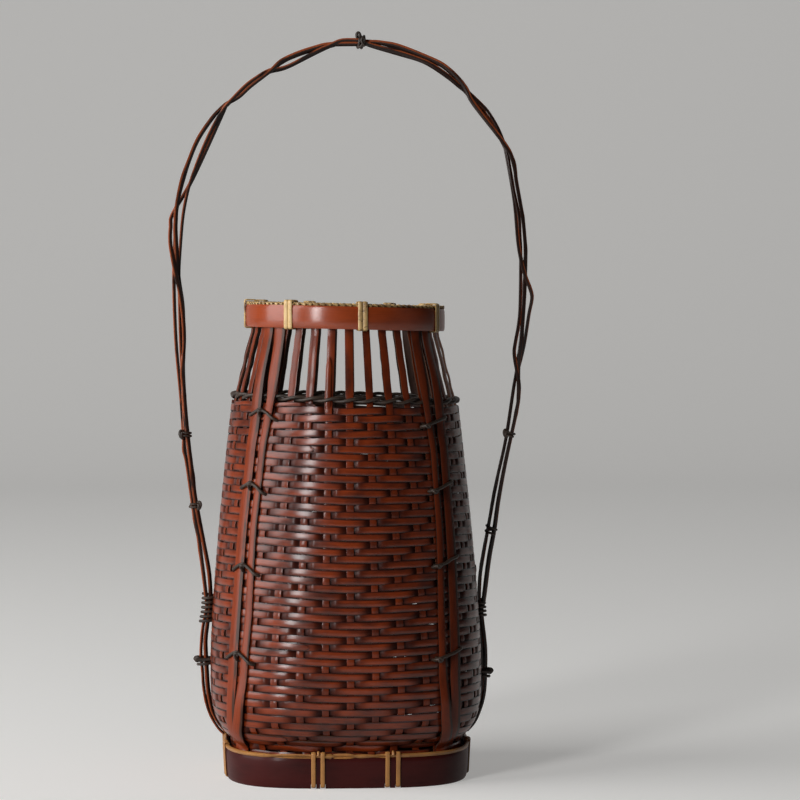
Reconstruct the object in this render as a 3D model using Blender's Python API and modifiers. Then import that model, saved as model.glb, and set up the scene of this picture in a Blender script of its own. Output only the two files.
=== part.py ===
"""Ikebana basket of dark bamboo: woven body, open neck, hooped rim, branch handle, lift-out water tube.

Metres, +Z up. The origin lies on the floor under the middle of the basket, the front looks along -Y,
and the handle spans the basket from -X to +X. Azimuths are measured from the front towards +X.
"""
from math import atan2, cos, pi, radians, sin

import bmesh
import bpy
from mathutils import Vector

# General clearances
GAP = 0.0003            # between pieces that touch
CURVE_GAP = 0.00045     # between a round strand and what it lies on
CUT_OVERRUN = 0.002     # how far a cutter runs past what it cuts
MERGE_DISTANCE = 0.00001    # corners this close on a turned piece's axis become one

# Base band
BAND_TOP_HALF_WIDTH = 0.0796
BAND_FLARE = 0.0010     # how much narrower the band is at its foot
BAND_HEIGHT = 0.0195
BAND_THICKNESS = 0.0020
BASE_PASSAGE = 0.0027   # room between the band and the weave for ribs and wraps
FOOT_LIFT = 0.0030      # the weave's foot above the floor
EDGING_RADIUS = 0.0011

# Woven body
BELLY_HALF_WIDTH = 0.0880
BELLY_HEIGHT = 0.0750
WEAVE_TOP = 0.2405
WEAVE_TOP_HALF_WIDTH = 0.0739
WEAVE_THICKNESS = 0.0020
FLOOR_THICKNESS = 0.0025
FLOOR_LIFT = 0.0045

# Stakes and neck
STAKE_WIDTH = 0.0043
STAKE_THICKNESS = 0.0010
STAKE_CLEARANCE = 0.0007    # between a flat stake and the curved weave
NECK_RING_LIFT = 0.0045     # the ring's middle above the top of the weave
NECK_STRAND_RADIUS = 0.0011
NECK_LIFT = 0.00135     # the two passes of the strand lie this far above and below the ring's height
NECK_STAKE_HALF_WIDTH = 0.0725    # outer face of the stakes at the neck ring

# Rim
RIM_HALF_WIDTH = 0.0649
NECK_HEIGHT = 0.0490    # from the top of the weave to the rim
RIM_HEIGHT = 0.0145
OUTER_BAND_THICKNESS = 0.0020
INNER_BAND_THICKNESS = 0.0015
RIM_EDGING_HEIGHT = 0.0026
RIM_ENTRY = 0.0015      # the strips stand upright from this far below the rim
RIM_INSET = 0.0010      # strip ends below the top of the bands

# Corner ribs and their ties
RIB_WIDTH = 0.0085
RIB_THICKNESS = 0.0012
TIE_RADIUS = 0.0010
TIE_SLANT = 0.0035      # how far each end of a tie lies above or below its middle

# Golden rattan wraps
WRAP_RADIUS = 0.0009
RIM_WRAP_PITCH = 0.0029
BASE_WRAP_PITCH = 0.0058
NOTCH_HEIGHT = 0.0028

# Handle
APEX_HEIGHT = 0.4743
HANDLE_HALF_WIDTH = 0.1174
HANDLE_END_HEIGHT = 0.0310
LASH_HEIGHT = 0.1130
LOWER_LASH_HEIGHT = 0.0700
LASH_PITCH = 0.0030
LASH_RADIUS = 0.0010
UPPER_LASH_TURNS = 3
LOWER_LASH_TURNS = 2
KNOT_RADIUS = 0.0010
KNOT_PITCH = 0.0026
THICK_BRANCH_RADIUS = 0.0018
THIN_BRANCH_RADIUS = 0.0013
TIGHT_SPREAD = 0.0026   # branch centres from the middle of the bundle where it is tight
LOOSE_SPREAD = 0.0050   # the same in the middle of a loop

# Water tube
TUBE_RADIUS = 0.0310
TUBE_HEIGHT = 0.1450
TUBE_WALL = 0.0040
TUBE_FLOOR = 0.0050
TUBE_NODE_SWELL = 0.0006
TUBE_NODE_HEIGHT = 0.0040

# Counts, powers and angles
STAKE_COUNT = 35
FOOT_SQUARENESS = 1.3   # added to the round section's exponent of 2 at the foot
TUCK_POWER = 4.5
NECK_POWER = 1.38
BODY_COLUMNS = STAKE_COUNT    # a column of the weave's faces stands at each stake
UPPER_ROWS = 4
BAND_COLUMNS = 64
RIM_STEPS = 48
RIB_AZIMUTH = radians(48.5)
RIB_HALF_SPACING = radians(4.3)
RIB_FOOT_TURN = radians(5.0)    # the ribs' feet stand this far round from their tops
HANDLE_TURNS = 3
HANDLE_LOOPS = 9
HANDLE_POINTS = 62

# Shares chosen by eye
tuck_row_shares = (0.0, 0.10, 0.25, 0.50, 1.0)
rib_tie_height_shares = (0.266, 0.532, 0.764, 0.968)
rim_wrap_gap_shares = (0.5, 6.5, 11.5, 14.5, 19.5, 23.5, 26.5, 31.5)   # stake spaces from the front
base_wrap_width_shares = (-0.26, 0.35)    # along each side of the band, of its half width
tube_node_height_shares = (0.30, 0.72)
twining_shares = (-0.18, 0.18, 0.5)       # of the space between stakes: flat over a stake, then across
# Legs: how far out between the lashing and the widest place, and how far up to the apex
left_leg_shares = (
    (0.09, 0.092), (0.30, 0.154), (0.39, 0.180), (0.53, 0.288), (0.63, 0.413), (0.74, 0.503),
    (0.84, 0.629),
)
right_leg_shares = (
    (0.12, 0.127), (0.29, 0.198), (0.50, 0.297), (0.77, 0.383), (0.69, 0.444), (0.86, 0.486),
    (1.00, 0.557), (0.94, 0.613),
)
# Arch: shares of the handle's half width, and how far up to the apex
left_arch_shares = (
    (0.940, 0.692), (0.885, 0.745), (0.808, 0.808), (0.686, 0.866), (0.532, 0.920),
    (0.338, 0.961), (0.145, 0.988),
)
right_arch_shares = (
    (0.970, 0.685), (0.931, 0.781), (0.859, 0.824), (0.766, 0.876), (0.666, 0.923),
    (0.457, 0.973), (0.296, 0.991),
)
apex_share = 0.077      # the apex's offset to the right, of the handle's half width

# Derived places
STAKE_PITCH = 2 * pi / STAKE_COUNT
NECK_RING_HEIGHT = WEAVE_TOP + NECK_RING_LIFT
RIM_BOTTOM = WEAVE_TOP + NECK_HEIGHT
RIM_TOP = RIM_BOTTOM + RIM_HEIGHT
RIB_RIM_INNER = RIM_HALF_WIDTH - OUTER_BAND_THICKNESS - GAP - RIB_THICKNESS
STAKE_RIM_OUTER = RIB_RIM_INNER - GAP
INNER_BAND_OUTER = STAKE_RIM_OUTER - STAKE_THICKNESS - GAP
INNER_BAND_INNER = INNER_BAND_OUTER - INNER_BAND_THICKNESS
EDGING_HEIGHT = BAND_HEIGHT + CURVE_GAP + EDGING_RADIUS
BASE_WRAP_TOP = EDGING_HEIGHT + EDGING_RADIUS + CURVE_GAP
TUCK_HEIGHT = BASE_WRAP_TOP + 2 * WRAP_RADIUS
NECK_SWING = STAKE_THICKNESS / 2 + CURVE_GAP + NECK_STRAND_RADIUS
RIB_RING_INNER = NECK_STAKE_HALF_WIDTH - STAKE_THICKNESS / 2 + NECK_SWING + NECK_STRAND_RADIUS + GAP
BUNDLE_FLAT_SPREAD = THIN_BRANCH_RADIUS + GAP
BUNDLE_WIDE_SPREAD = THICK_BRANCH_RADIUS + THIN_BRANCH_RADIUS + CURVE_GAP
BUNDLE_HALF_DEPTH = BUNDLE_FLAT_SPREAD + THIN_BRANCH_RADIUS
BUNDLE_STANDOFF = BUNDLE_HALF_DEPTH + CURVE_GAP

COLLECTION = bpy.data.collections.new("ikebana_basket")
CUTTERS = bpy.data.collections.new("cutters")


def clear_scene():
    """Remove what the file opens with and add the two collections."""
    for thing in list(bpy.data.objects):
        bpy.data.objects.remove(thing, do_unlink=True)
    bpy.context.scene.collection.children.link(COLLECTION)
    bpy.context.scene.collection.children.link(CUTTERS)


def material(name, colour, roughness):
    """A plain finish with the piece's colour and roughness."""
    finish = bpy.data.materials.new(name)
    finish.use_nodes = True
    shader = finish.node_tree.nodes["Principled BSDF"]
    shader.inputs["Base Color"].default_value = (*colour, 1)
    shader.inputs["Roughness"].default_value = roughness
    shader.inputs["Metallic"].default_value = 0
    return finish


RED_BAMBOO = ("red_bamboo", (0.19, 0.035, 0.015), 0.35)
RIM_BAMBOO = ("rim_bamboo", (0.38, 0.075, 0.020), 0.25)
BAND_BAMBOO = ("band_bamboo", (0.055, 0.012, 0.010), 0.40)
DARK_RATTAN = ("dark_rattan", (0.045, 0.030, 0.022), 0.55)
GOLD_RATTAN = ("gold_rattan", (0.50, 0.27, 0.08), 0.45)
DARK_BRANCH = ("dark_branch", (0.040, 0.012, 0.008), 0.35)
GREEN_BAMBOO = ("tube_bamboo", (0.42, 0.30, 0.14), 0.50)


def finish_object(thing, look):
    """Give the piece a finish of its own and link it."""
    name, colour, roughness = look
    thing.data.materials.append(material(thing.name + "_" + name, colour, roughness))
    COLLECTION.objects.link(thing)
    return thing


def object_from(mesh, name, look):
    """Turn a finished bmesh into a named piece."""
    data = bpy.data.meshes.new(name)
    mesh.to_mesh(data)
    mesh.free()
    data.shade_smooth()
    data.set_sharp_from_angle(angle=radians(35))
    return finish_object(bpy.data.objects.new(name, data), look)


def superellipse(azimuth, half_width, exponent):
    """The point of a rounded square, or of a circle at exponent 2, at this azimuth."""
    across, along = sin(azimuth), -cos(azimuth)
    reach = half_width / (abs(across) ** exponent + abs(along) ** exponent) ** (1 / exponent)
    return Vector((reach * across, reach * along, 0))


def squareness(height):
    """Section exponent: squarish at the foot, round from the top of the weave up."""
    share = min(max(height / WEAVE_TOP, 0), 1)
    return 2 + FOOT_SQUARENESS * (1 - share) ** 2


def band_half_width(height):
    """Outer half width of the base band, flared upwards."""
    return BAND_TOP_HALF_WIDTH - BAND_FLARE * (1 - height / BAND_HEIGHT)


def body_half_width(height):
    """Outer half width of the weave: upright inside the band, full at the belly, drawn in to the neck."""
    foot = band_half_width(height) - BAND_THICKNESS - BASE_PASSAGE
    if height <= TUCK_HEIGHT:
        return foot
    foot = band_half_width(TUCK_HEIGHT) - BAND_THICKNESS - BASE_PASSAGE
    if height <= BELLY_HEIGHT:
        share = (height - TUCK_HEIGHT) / (BELLY_HEIGHT - TUCK_HEIGHT)
        return foot + (BELLY_HALF_WIDTH - foot) * (1 - (1 - share) ** TUCK_POWER)
    share = (height - BELLY_HEIGHT) / (WEAVE_TOP - BELLY_HEIGHT)
    return BELLY_HALF_WIDTH - (BELLY_HALF_WIDTH - WEAVE_TOP_HALF_WIDTH) * share ** NECK_POWER


def body_point(azimuth, height, outset=0.0):
    """A point on the weave's outer face, moved out along the face's normal."""
    step = WEAVE_TOP / 1000
    turn = pi / 1000
    here = superellipse(azimuth, body_half_width(height), squareness(height))
    here.z = height
    ahead = superellipse(azimuth + turn, body_half_width(height), squareness(height))
    ahead.z = height
    above = superellipse(azimuth, body_half_width(height + step), squareness(height + step))
    above.z = height + step
    below = superellipse(azimuth, body_half_width(height - step), squareness(height - step))
    below.z = height - step
    normal = (ahead - here).cross(above - below).normalized()
    return here + outset * normal


def body_heights():
    """Rows shared by the weave and the strips that follow it."""
    lower = [TUCK_HEIGHT + (BELLY_HEIGHT - TUCK_HEIGHT) * share for share in tuck_row_shares]
    upper = [BELLY_HEIGHT + (WEAVE_TOP - BELLY_HEIGHT) * (row + 1) / UPPER_ROWS
             for row in range(UPPER_ROWS)]
    return [FOOT_LIFT] + lower + upper


def stake_heights():
    """The stakes' rows inside the weave: the foot, the tuck and every other row above it."""
    heights = body_heights()
    return heights[:2] + heights[3::2]


def ring(points_at, columns):
    """Points of one closed ring."""
    return [points_at(2 * pi * column / columns) for column in range(columns)]


def loft(name, rings, look, closes=True):
    """Skin a chain of rings. The chain meets its own start, or is capped at both ends."""
    mesh = bmesh.new()
    loops = [[mesh.verts.new(point) for point in points] for points in rings]
    following = loops[1:] + (loops[:1] if closes else [])
    for lower, upper in zip(loops, following):
        for i in range(len(lower)):
            mesh.faces.new((lower[i - 1], lower[i], upper[i], upper[i - 1]))
    if not closes:
        mesh.faces.new(loops[0][::-1])
        mesh.faces.new(loops[-1])
    return object_from(mesh, name, look)


def tube(name, path, radius, look, cyclic=False, bevel_resolution=0):
    """A piece of round strand along a path."""
    data = bpy.data.curves.new(name, "CURVE")
    data.dimensions = "3D"
    data.bevel_depth = radius
    data.bevel_resolution = bevel_resolution
    data.use_fill_caps = True
    spline = data.splines.new("POLY")
    spline.points.add(len(path) - 1)
    for point, place in zip(spline.points, path):
        point.co = (*place, 1)
    spline.use_cyclic_u = cyclic
    return finish_object(bpy.data.objects.new(name, data), look)


def turned(name, profile, look, steps, closed):
    """Revolve a profile of (radius, height) about the vertical axis."""
    mesh = bmesh.new()
    corners = [mesh.verts.new((radius, 0, height)) for radius, height in profile]
    for first, second in zip(corners, corners[1:]):
        mesh.edges.new((first, second))
    if closed:
        mesh.edges.new((corners[-1], corners[0]))
    thing = object_from(mesh, name, look)
    screw = thing.modifiers.new("turn", "SCREW")
    screw.steps = steps
    screw.render_steps = steps
    screw.use_merge_vertices = True
    screw.merge_threshold = MERGE_DISTANCE
    screw.use_smooth_shade = True
    return thing


def strip(name, face_at, rows, columns, thickness, look, open_at=None):
    """A flat strip: a grid laid on a face by column and row, opened where asked, thickened outwards."""
    mesh = bmesh.new()
    made = bmesh.ops.create_grid(mesh, x_segments=columns, y_segments=rows - 1, size=0.5)
    places = {}
    for corner in made["verts"]:
        column = round((corner.co.x + 0.5) * columns)
        row = round((corner.co.y + 0.5) * (rows - 1))
        places[corner] = (column, row)
        corner.co = face_at(column, row)
    if open_at:
        holes = []
        for face in mesh.faces:
            column = min(places[corner][0] for corner in face.verts)
            row = min(places[corner][1] for corner in face.verts)
            if open_at(column, row):
                holes.append(face)
        bmesh.ops.delete(mesh, geom=holes, context="FACES")
    mesh.normal_update()
    for face in mesh.faces:
        middle = face.calc_center_median()
        if face.normal.dot(Vector((middle.x, middle.y, 0))) < 0:
            face.normal_flip()
    thing = object_from(mesh, name, look)
    solid = thing.modifiers.new("thickness", "SOLIDIFY")
    solid.thickness = thickness
    solid.offset = 1
    return thing


def base_band():
    """The rounded square hoop that the basket stands on, notched underneath for the wraps."""
    def rim(inset, height):
        """One edge of the hoop."""
        def place(azimuth):
            point = superellipse(azimuth, band_half_width(height) - inset, squareness(0))
            point.z = height
            return point
        return ring(place, BAND_COLUMNS)

    hoop = loft("base_band", [
        rim(0, 0), rim(0, BAND_HEIGHT), rim(BAND_THICKNESS, BAND_HEIGHT), rim(BAND_THICKNESS, 0),
    ], BAND_BAMBOO)
    width = BASE_WRAP_PITCH * 2 + 2 * WRAP_RADIUS + 2 * CURVE_GAP
    for number, (middle, outward, along) in enumerate(base_wrap_places()):
        mesh = bmesh.new()
        bmesh.ops.create_cube(mesh, size=1)
        depth = BAND_THICKNESS + 2 * CUT_OVERRUN
        height = NOTCH_HEIGHT + CUT_OVERRUN
        for corner in mesh.verts:
            share = corner.co.copy()
            corner.co = middle + outward * depth * share.x + along * width * share.y
            corner.co.z = NOTCH_HEIGHT + height * (share.z - 0.5)
        mesh.normal_update()
        data = bpy.data.meshes.new(f"notch_{number + 1}")
        mesh.to_mesh(data)
        mesh.free()
        cutter = bpy.data.objects.new(data.name, data)
        cutter.hide_render = True
        cutter.display_type = "WIRE"
        CUTTERS.objects.link(cutter)
        cut = hoop.modifiers.new(cutter.name, "BOOLEAN")
        cut.operation = "DIFFERENCE"
        cut.object = cutter


def base_wrap_places():
    """Middle, outward and sideways directions of each wrap on the base band."""
    places = []
    for quarter in range(4):
        for share in base_wrap_width_shares:
            azimuth = atan2(share, 1) + quarter * pi / 2
            middle_width = band_half_width(0) - BAND_THICKNESS / 2
            middle = superellipse(azimuth, middle_width, squareness(0))
            ahead = superellipse(azimuth + pi / 1000, middle_width, squareness(0))
            along = (ahead - middle).normalized()
            outward = Vector((along.y, -along.x, 0))
            places.append((middle, outward, along))
    return places


def winding(corners, reach, turns, pitch, place):
    """An unbroken strand that goes turns times round a stack, given the stack's corners in order."""
    corner_angles = (pi / 12, 5 * pi / 12)
    reach = reach / cos(pi / 6)
    path = []
    count = turns * len(corners) * len(corner_angles)
    for index in range(count + 1):
        across, level, start = corners[index // len(corner_angles) % len(corners)]
        angle = start + corner_angles[index % len(corner_angles)]
        out = across + reach * cos(angle)
        up = level + reach * sin(angle)
        path.append(place(out, up, (index / count - 0.5) * turns * pitch))
    return path


def rectangle_corners(inner, outer, bottom, top):
    """Corners of a stack from the inner bottom one round to the inner top one, with each arc's start."""
    return ((inner, bottom, pi), (outer, bottom, 1.5 * pi), (outer, top, 0), (inner, top, pi / 2))


def least_gap(path, radius, apart, cyclic=False):
    """The least space between a strand and its own turns, from points at least so many steps apart."""
    gap = None
    for first in range(len(path)):
        for second in range(first + apart, len(path)):
            if cyclic and first + len(path) - second < apart:
                continue
            space = (path[first] - path[second]).length - 2 * radius
            gap = space if gap is None else min(gap, space)
    return gap


def base_wraps():
    """Two turns of golden rattan over the band and its edging at each place."""
    for number, (middle, outward, along) in enumerate(base_wrap_places()):
        def place(out, up, side):
            flare = BAND_FLARE * up / BAND_HEIGHT
            return middle + outward * (out + flare) + along * side + Vector((0, 0, up))

        half = BAND_THICKNESS / 2
        corners = rectangle_corners(-half, half, NOTCH_HEIGHT, BASE_WRAP_TOP - CURVE_GAP)
        path = winding(corners, CURVE_GAP + WRAP_RADIUS, 2, BASE_WRAP_PITCH, place)
        tube(f"base_wrap_{number + 1}", path, WRAP_RADIUS, GOLD_RATTAN)
        if number == 0:
            print("base wrap, least gap to itself:", least_gap(path, WRAP_RADIUS, 7))


def base_edging():
    """The golden strip that lies on the band's top edge."""
    def place(azimuth):
        point = superellipse(azimuth, BAND_TOP_HALF_WIDTH - BAND_THICKNESS / 2, squareness(0))
        point.z = EDGING_HEIGHT
        return point
    tube("base_edging", ring(place, BAND_COLUMNS), EDGING_RADIUS, GOLD_RATTAN, cyclic=True,
         bevel_resolution=1)


def woven_body():
    """The weave's outer form, open at the top and at the foot."""
    heights = body_heights()
    outer = [ring(lambda azimuth, z=z: body_point(azimuth, z), BODY_COLUMNS) for z in heights]
    inner = [ring(lambda azimuth, z=z: body_point(azimuth, z, -WEAVE_THICKNESS), BODY_COLUMNS)
             for z in heights]
    loft("woven_body", outer + inner[::-1], RED_BAMBOO)


def woven_floor():
    """The floor that the stakes carry."""
    half_width = body_half_width(FLOOR_LIFT) - WEAVE_THICKNESS - STAKE_THICKNESS - 3 * CURVE_GAP

    def rim(height):
        """One edge of the floor."""
        def place(azimuth):
            point = superellipse(azimuth, half_width, squareness(0))
            point.z = height
            return point
        return ring(place, BODY_COLUMNS)
    loft("woven_floor", [rim(FLOOR_LIFT), rim(FLOOR_LIFT + FLOOR_THICKNESS)], RED_BAMBOO, closes=False)


def upper_strip_heights():
    """Rows of a strip above the weave: at the ring, below the rim and at its end between the bands."""
    ring_room = NECK_LIFT + NECK_STRAND_RADIUS + GAP
    return [NECK_RING_HEIGHT - ring_room, NECK_RING_HEIGHT + ring_room, RIM_BOTTOM - RIM_ENTRY,
            RIM_TOP - RIM_INSET]


def strip_path(lower, body_outset, ring_width, rim_width):
    """Centre line of an upright strip's inner face, as a function of azimuth and row."""
    upper = list(zip(upper_strip_heights(), (ring_width, ring_width, rim_width, rim_width)))

    def place(azimuth, row):
        if row < len(lower):
            return body_point(azimuth, lower[row], body_outset)
        height, width = upper[row - len(lower)]
        point = superellipse(azimuth, width, 2)
        point.z = height
        return point
    return place, len(lower) + len(upper)


def across_strip(azimuth, row, path, offset):
    """A point of a strip's inner face, this far sideways from its middle line."""
    middle = path(azimuth, row)
    return path(azimuth + offset / middle.xy.length, row)


def stakes():
    """Flat stakes inside the weave, up through the neck and in between the rim bands.

    The stakes of each side are one piece, because they meet where they turn under into the floor.
    """
    path, rows = strip_path(
        stake_heights(),
        -WEAVE_THICKNESS - STAKE_CLEARANCE - STAKE_THICKNESS,
        NECK_STAKE_HALF_WIDTH - STAKE_THICKNESS,
        STAKE_RIM_OUTER - STAKE_THICKNESS,
    )
    for quarter, side in enumerate(("front", "right", "back", "left")):
        numbers = [number for number in range(STAKE_COUNT)
                   if int((number * STAKE_PITCH + pi / 4) // (pi / 2)) % 4 == quarter]
        if quarter == 0:
            numbers = [number - STAKE_COUNT * (number > STAKE_COUNT / 2) for number in numbers]
        first = min(numbers)

        def face_at(column, row):
            azimuth = (first + column // 2) * STAKE_PITCH
            return across_strip(azimuth, row, path, STAKE_WIDTH * (column % 2 - 0.5))

        strip(f"stakes_{side}", face_at, rows, 2 * len(numbers) - 1, STAKE_THICKNESS, RED_BAMBOO,
              open_at=lambda column, row: column % 2 == 1 and row > 0)


def neck_ring():
    """One strand twined twice round the neck: it passes outside one stake and inside the next."""
    middle = NECK_STAKE_HALF_WIDTH - STAKE_THICKNESS / 2
    path = []
    for space in range(2 * STAKE_COUNT):
        for share in twining_shares:
            azimuth = (space + share) * STAKE_PITCH
            swing = cos(pi * (space + share))
            side = 0 if share == 0.5 else 1 if swing > 0 else -1
            radius = middle + side * NECK_SWING
            height = NECK_RING_HEIGHT + NECK_LIFT * sin(pi * (space + share))
            path.append(Vector((radius * sin(azimuth), -radius * cos(azimuth), height)))
    tube("neck_ring", path, NECK_STRAND_RADIUS, DARK_RATTAN, cyclic=True)
    print("neck ring, least gap to itself:", least_gap(path, NECK_STRAND_RADIUS, 5, cyclic=True))


def rib_corners():
    """Name and azimuth of each corner's pair of ribs."""
    return (
        ("front_right", RIB_AZIMUTH), ("back_right", pi - RIB_AZIMUTH),
        ("back_left", RIB_AZIMUTH - pi), ("front_left", -RIB_AZIMUTH),
    )


def rib_turn(height):
    """How far a rib has turned at this height: all of it at the foot, nothing at the top of the weave."""
    share = min(max((height - TUCK_HEIGHT) / (WEAVE_TOP - TUCK_HEIGHT), 0), 1)
    return RIB_FOOT_TURN * (1 - share)


def ribs():
    """Wide strips outside the weave and the neck ring, two at each corner, leaning a little round it."""
    lower = body_heights()
    lower[-1] -= NECK_STRAND_RADIUS
    path, rows = strip_path(lower, GAP, RIB_RING_INNER, RIB_RIM_INNER)
    for corner, azimuth in rib_corners():
        for number, side in enumerate((-1, 1)):
            columns = 2

            def face_at(column, row):
                turn = rib_turn(lower[row]) if row < len(lower) else 0
                middle = azimuth + side * RIB_HALF_SPACING - turn
                return across_strip(middle, row, path, RIB_WIDTH * (column / columns - 0.5))

            strip(f"rib_{corner}_{number + 1}", face_at, rows, columns, RIB_THICKNESS, RED_BAMBOO)


def rib_ties():
    """A dark tie arched over each pair of ribs at four heights, lower towards the front or the back."""
    low = CURVE_GAP + TIE_RADIUS
    high = low + RIB_THICKNESS + 2 * GAP
    across_shares = (-1, -1, 0, 1, 1)
    rises = (low, high, high, high, low)
    for corner, azimuth in rib_corners():
        sideways = 1 if sin(azimuth) * cos(azimuth) > 0 else -1
        for number, share in enumerate(rib_tie_height_shares):
            height = TUCK_HEIGHT + (WEAVE_TOP - TUCK_HEIGHT) * share
            reach = RIB_WIDTH / 2 + CURVE_GAP + TIE_RADIUS
            middle = azimuth - rib_turn(height)
            half_turn = RIB_HALF_SPACING + reach / body_point(middle, height).xy.length
            path = []
            for across, rise in zip(across_shares, rises):
                level = height + TIE_SLANT * across * sideways
                path.append(body_point(middle + across * half_turn, level, rise))
            tube(f"rib_tie_{corner}_{number + 1}", path, TIE_RADIUS, DARK_RATTAN)


def rim_bands():
    """The outer and the inner hoop that grip the strips, and the lashing's round body on top."""
    def hoop(name, outer, thickness, look):
        profile = ((outer, RIM_TOP), (outer, RIM_BOTTOM), (outer - thickness, RIM_BOTTOM),
                   (outer - thickness, RIM_TOP))
        turned(name, profile, look, RIM_STEPS, closed=True)

    hoop("rim_band_outer", RIM_HALF_WIDTH, OUTER_BAND_THICKNESS, RIM_BAMBOO)
    hoop("rim_band_inner", INNER_BAND_OUTER, INNER_BAND_THICKNESS, BAND_BAMBOO)
    middle = (RIM_HALF_WIDTH + INNER_BAND_INNER) / 2
    half_width = (RIM_HALF_WIDTH - INNER_BAND_INNER) / 2
    arc_steps = 4
    profile = [(middle + half_width * cos(pi * step / arc_steps),
                RIM_TOP + GAP + RIM_EDGING_HEIGHT * sin(pi * step / arc_steps))
               for step in range(arc_steps, -1, -1)]
    turned("rim_edging", profile, GOLD_RATTAN, RIM_STEPS, closed=True)


def rim_wraps():
    """Two turns of golden rattan round both bands, each between two stakes and clear of the ribs."""
    corners = rectangle_corners(INNER_BAND_INNER, RIM_HALF_WIDTH, RIM_BOTTOM,
                                RIM_TOP + GAP + RIM_EDGING_HEIGHT)
    for number, gap_share in enumerate(rim_wrap_gap_shares):
        azimuth = gap_share * STAKE_PITCH
        outward = Vector((sin(azimuth), -cos(azimuth), 0))
        along = Vector((cos(azimuth), sin(azimuth), 0))

        def place(out, up, side):
            return outward * out + along * side + Vector((0, 0, up))

        path = winding(corners, CURVE_GAP + WRAP_RADIUS, 2, RIM_WRAP_PITCH, place)
        tube(f"rim_wrap_{number + 1}", path, WRAP_RADIUS, GOLD_RATTAN)
        if number == 0:
            print("rim wrap, least gap to itself:", least_gap(path, WRAP_RADIUS, 7))


def handle_outline():
    """Points of the handle's middle line, from the left end over the apex to the right end."""
    end_rows = 10

    def side_points(sign):
        heights = [HANDLE_END_HEIGHT + (LASH_HEIGHT - HANDLE_END_HEIGHT) * row / (end_rows - 1)
                   for row in range(end_rows)]
        return [body_point(sign * pi / 2, height, BUNDLE_STANDOFF) for height in heights]

    def rise(share):
        return LASH_HEIGHT + (APEX_HEIGHT - LASH_HEIGHT) * share

    left, right = side_points(-1), side_points(1)
    leave = right[-1].x
    for points, sign, leg, arch in ((left, -1, left_leg_shares, left_arch_shares),
                                    (right, 1, right_leg_shares, right_arch_shares)):
        for out, up in leg:
            points.append(Vector((sign * (leave + (HANDLE_HALF_WIDTH - leave) * out), 0, rise(up))))
        for out, up in arch:
            points.append(Vector((sign * HANDLE_HALF_WIDTH * out, 0, rise(up))))
    apex = Vector((HANDLE_HALF_WIDTH * apex_share, 0, APEX_HEIGHT))
    return left + [apex] + right[::-1]


def smooth_line(points, count):
    """Points on a smooth curve through the given ones, closer together towards both ends."""
    fine = []
    per_span = 12
    for index in range(len(points) - 1):
        before = points[max(index - 1, 0)]
        start, end = points[index], points[index + 1]
        after = points[min(index + 2, len(points) - 1)]
        for step in range(per_span):
            t = step / per_span
            fine.append(0.5 * (2 * start + (end - before) * t
                               + (2 * before - 5 * start + 4 * end - after) * t ** 2
                               + (3 * start - before - 3 * end + after) * t ** 3))
    fine.append(points[-1])
    lengths = [0.0]
    for first, second in zip(fine, fine[1:]):
        lengths.append(lengths[-1] + (second - first).length)
    chosen = []
    crowding_share = 0.5
    index = 0
    for number in range(count):
        share = number / (count - 1)
        share -= crowding_share * sin(2 * pi * share) / (2 * pi)
        target = lengths[-1] * share
        while index < len(fine) - 2 and lengths[index + 1] < target:
            index += 1
        share = (target - lengths[index]) / (lengths[index + 1] - lengths[index])
        chosen.append((fine[index].lerp(fine[index + 1], min(share, 1)), target / lengths[-1]))
    return chosen


def smoothstep(value):
    """Ease from 0 to 1."""
    value = min(max(value, 0), 1)
    return value * value * (3 - 2 * value)


def handle():
    """Four branches loosely twisted about one middle line, flat on the body at both ends."""
    chosen = smooth_line(handle_outline(), HANDLE_POINTS)
    line = [point for point, share in chosen]
    last = len(line) - 1
    apex = max(range(len(line)), key=lambda index: line[index].z)
    apex_along = chosen[apex][1]
    free_share = 0.17
    blend_share = 0.07
    tie_share = 0.02
    paths = [[] for branch in range(4)]
    for index, middle in enumerate(line):
        ahead = line[min(index + 1, last)] - line[max(index - 1, 0)]
        along = ahead.normalized()
        outward = Vector((-along.z, 0, along.x))
        share = chosen[index][1]
        from_end = min(share, 1 - share)
        free = smoothstep((from_end - free_share + blend_share) / blend_share)
        from_tie = abs(share - apex_along)
        loose = free * sin(pi * HANDLE_LOOPS * (share - apex_along)) ** 2
        loose *= smoothstep((from_tie - tie_share) / blend_share)
        twist_share = smoothstep((share - free_share) / (1 - 2 * free_share))
        twist = 2 * pi * HANDLE_TURNS * twist_share
        deep = BUNDLE_FLAT_SPREAD + free * (TIGHT_SPREAD - BUNDLE_FLAT_SPREAD)
        deep += loose * (LOOSE_SPREAD - TIGHT_SPREAD)
        wide = BUNDLE_WIDE_SPREAD + free * (TIGHT_SPREAD - BUNDLE_WIDE_SPREAD)
        wide += loose * (LOOSE_SPREAD - TIGHT_SPREAD) / 2
        for branch in range(4):
            angle = twist + branch * pi / 2
            paths[branch].append(middle + outward * deep * cos(angle) + Vector((0, wide * sin(angle), 0)))
    for branch, path in enumerate(paths):
        radius = THICK_BRANCH_RADIUS if branch % 2 else THIN_BRANCH_RADIUS
        tube(f"handle_branch_{branch + 1}", path, radius, DARK_BRANCH, bevel_resolution=1)
    knot(line[apex], (line[apex + 1] - line[apex - 1]).normalized())


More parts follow.
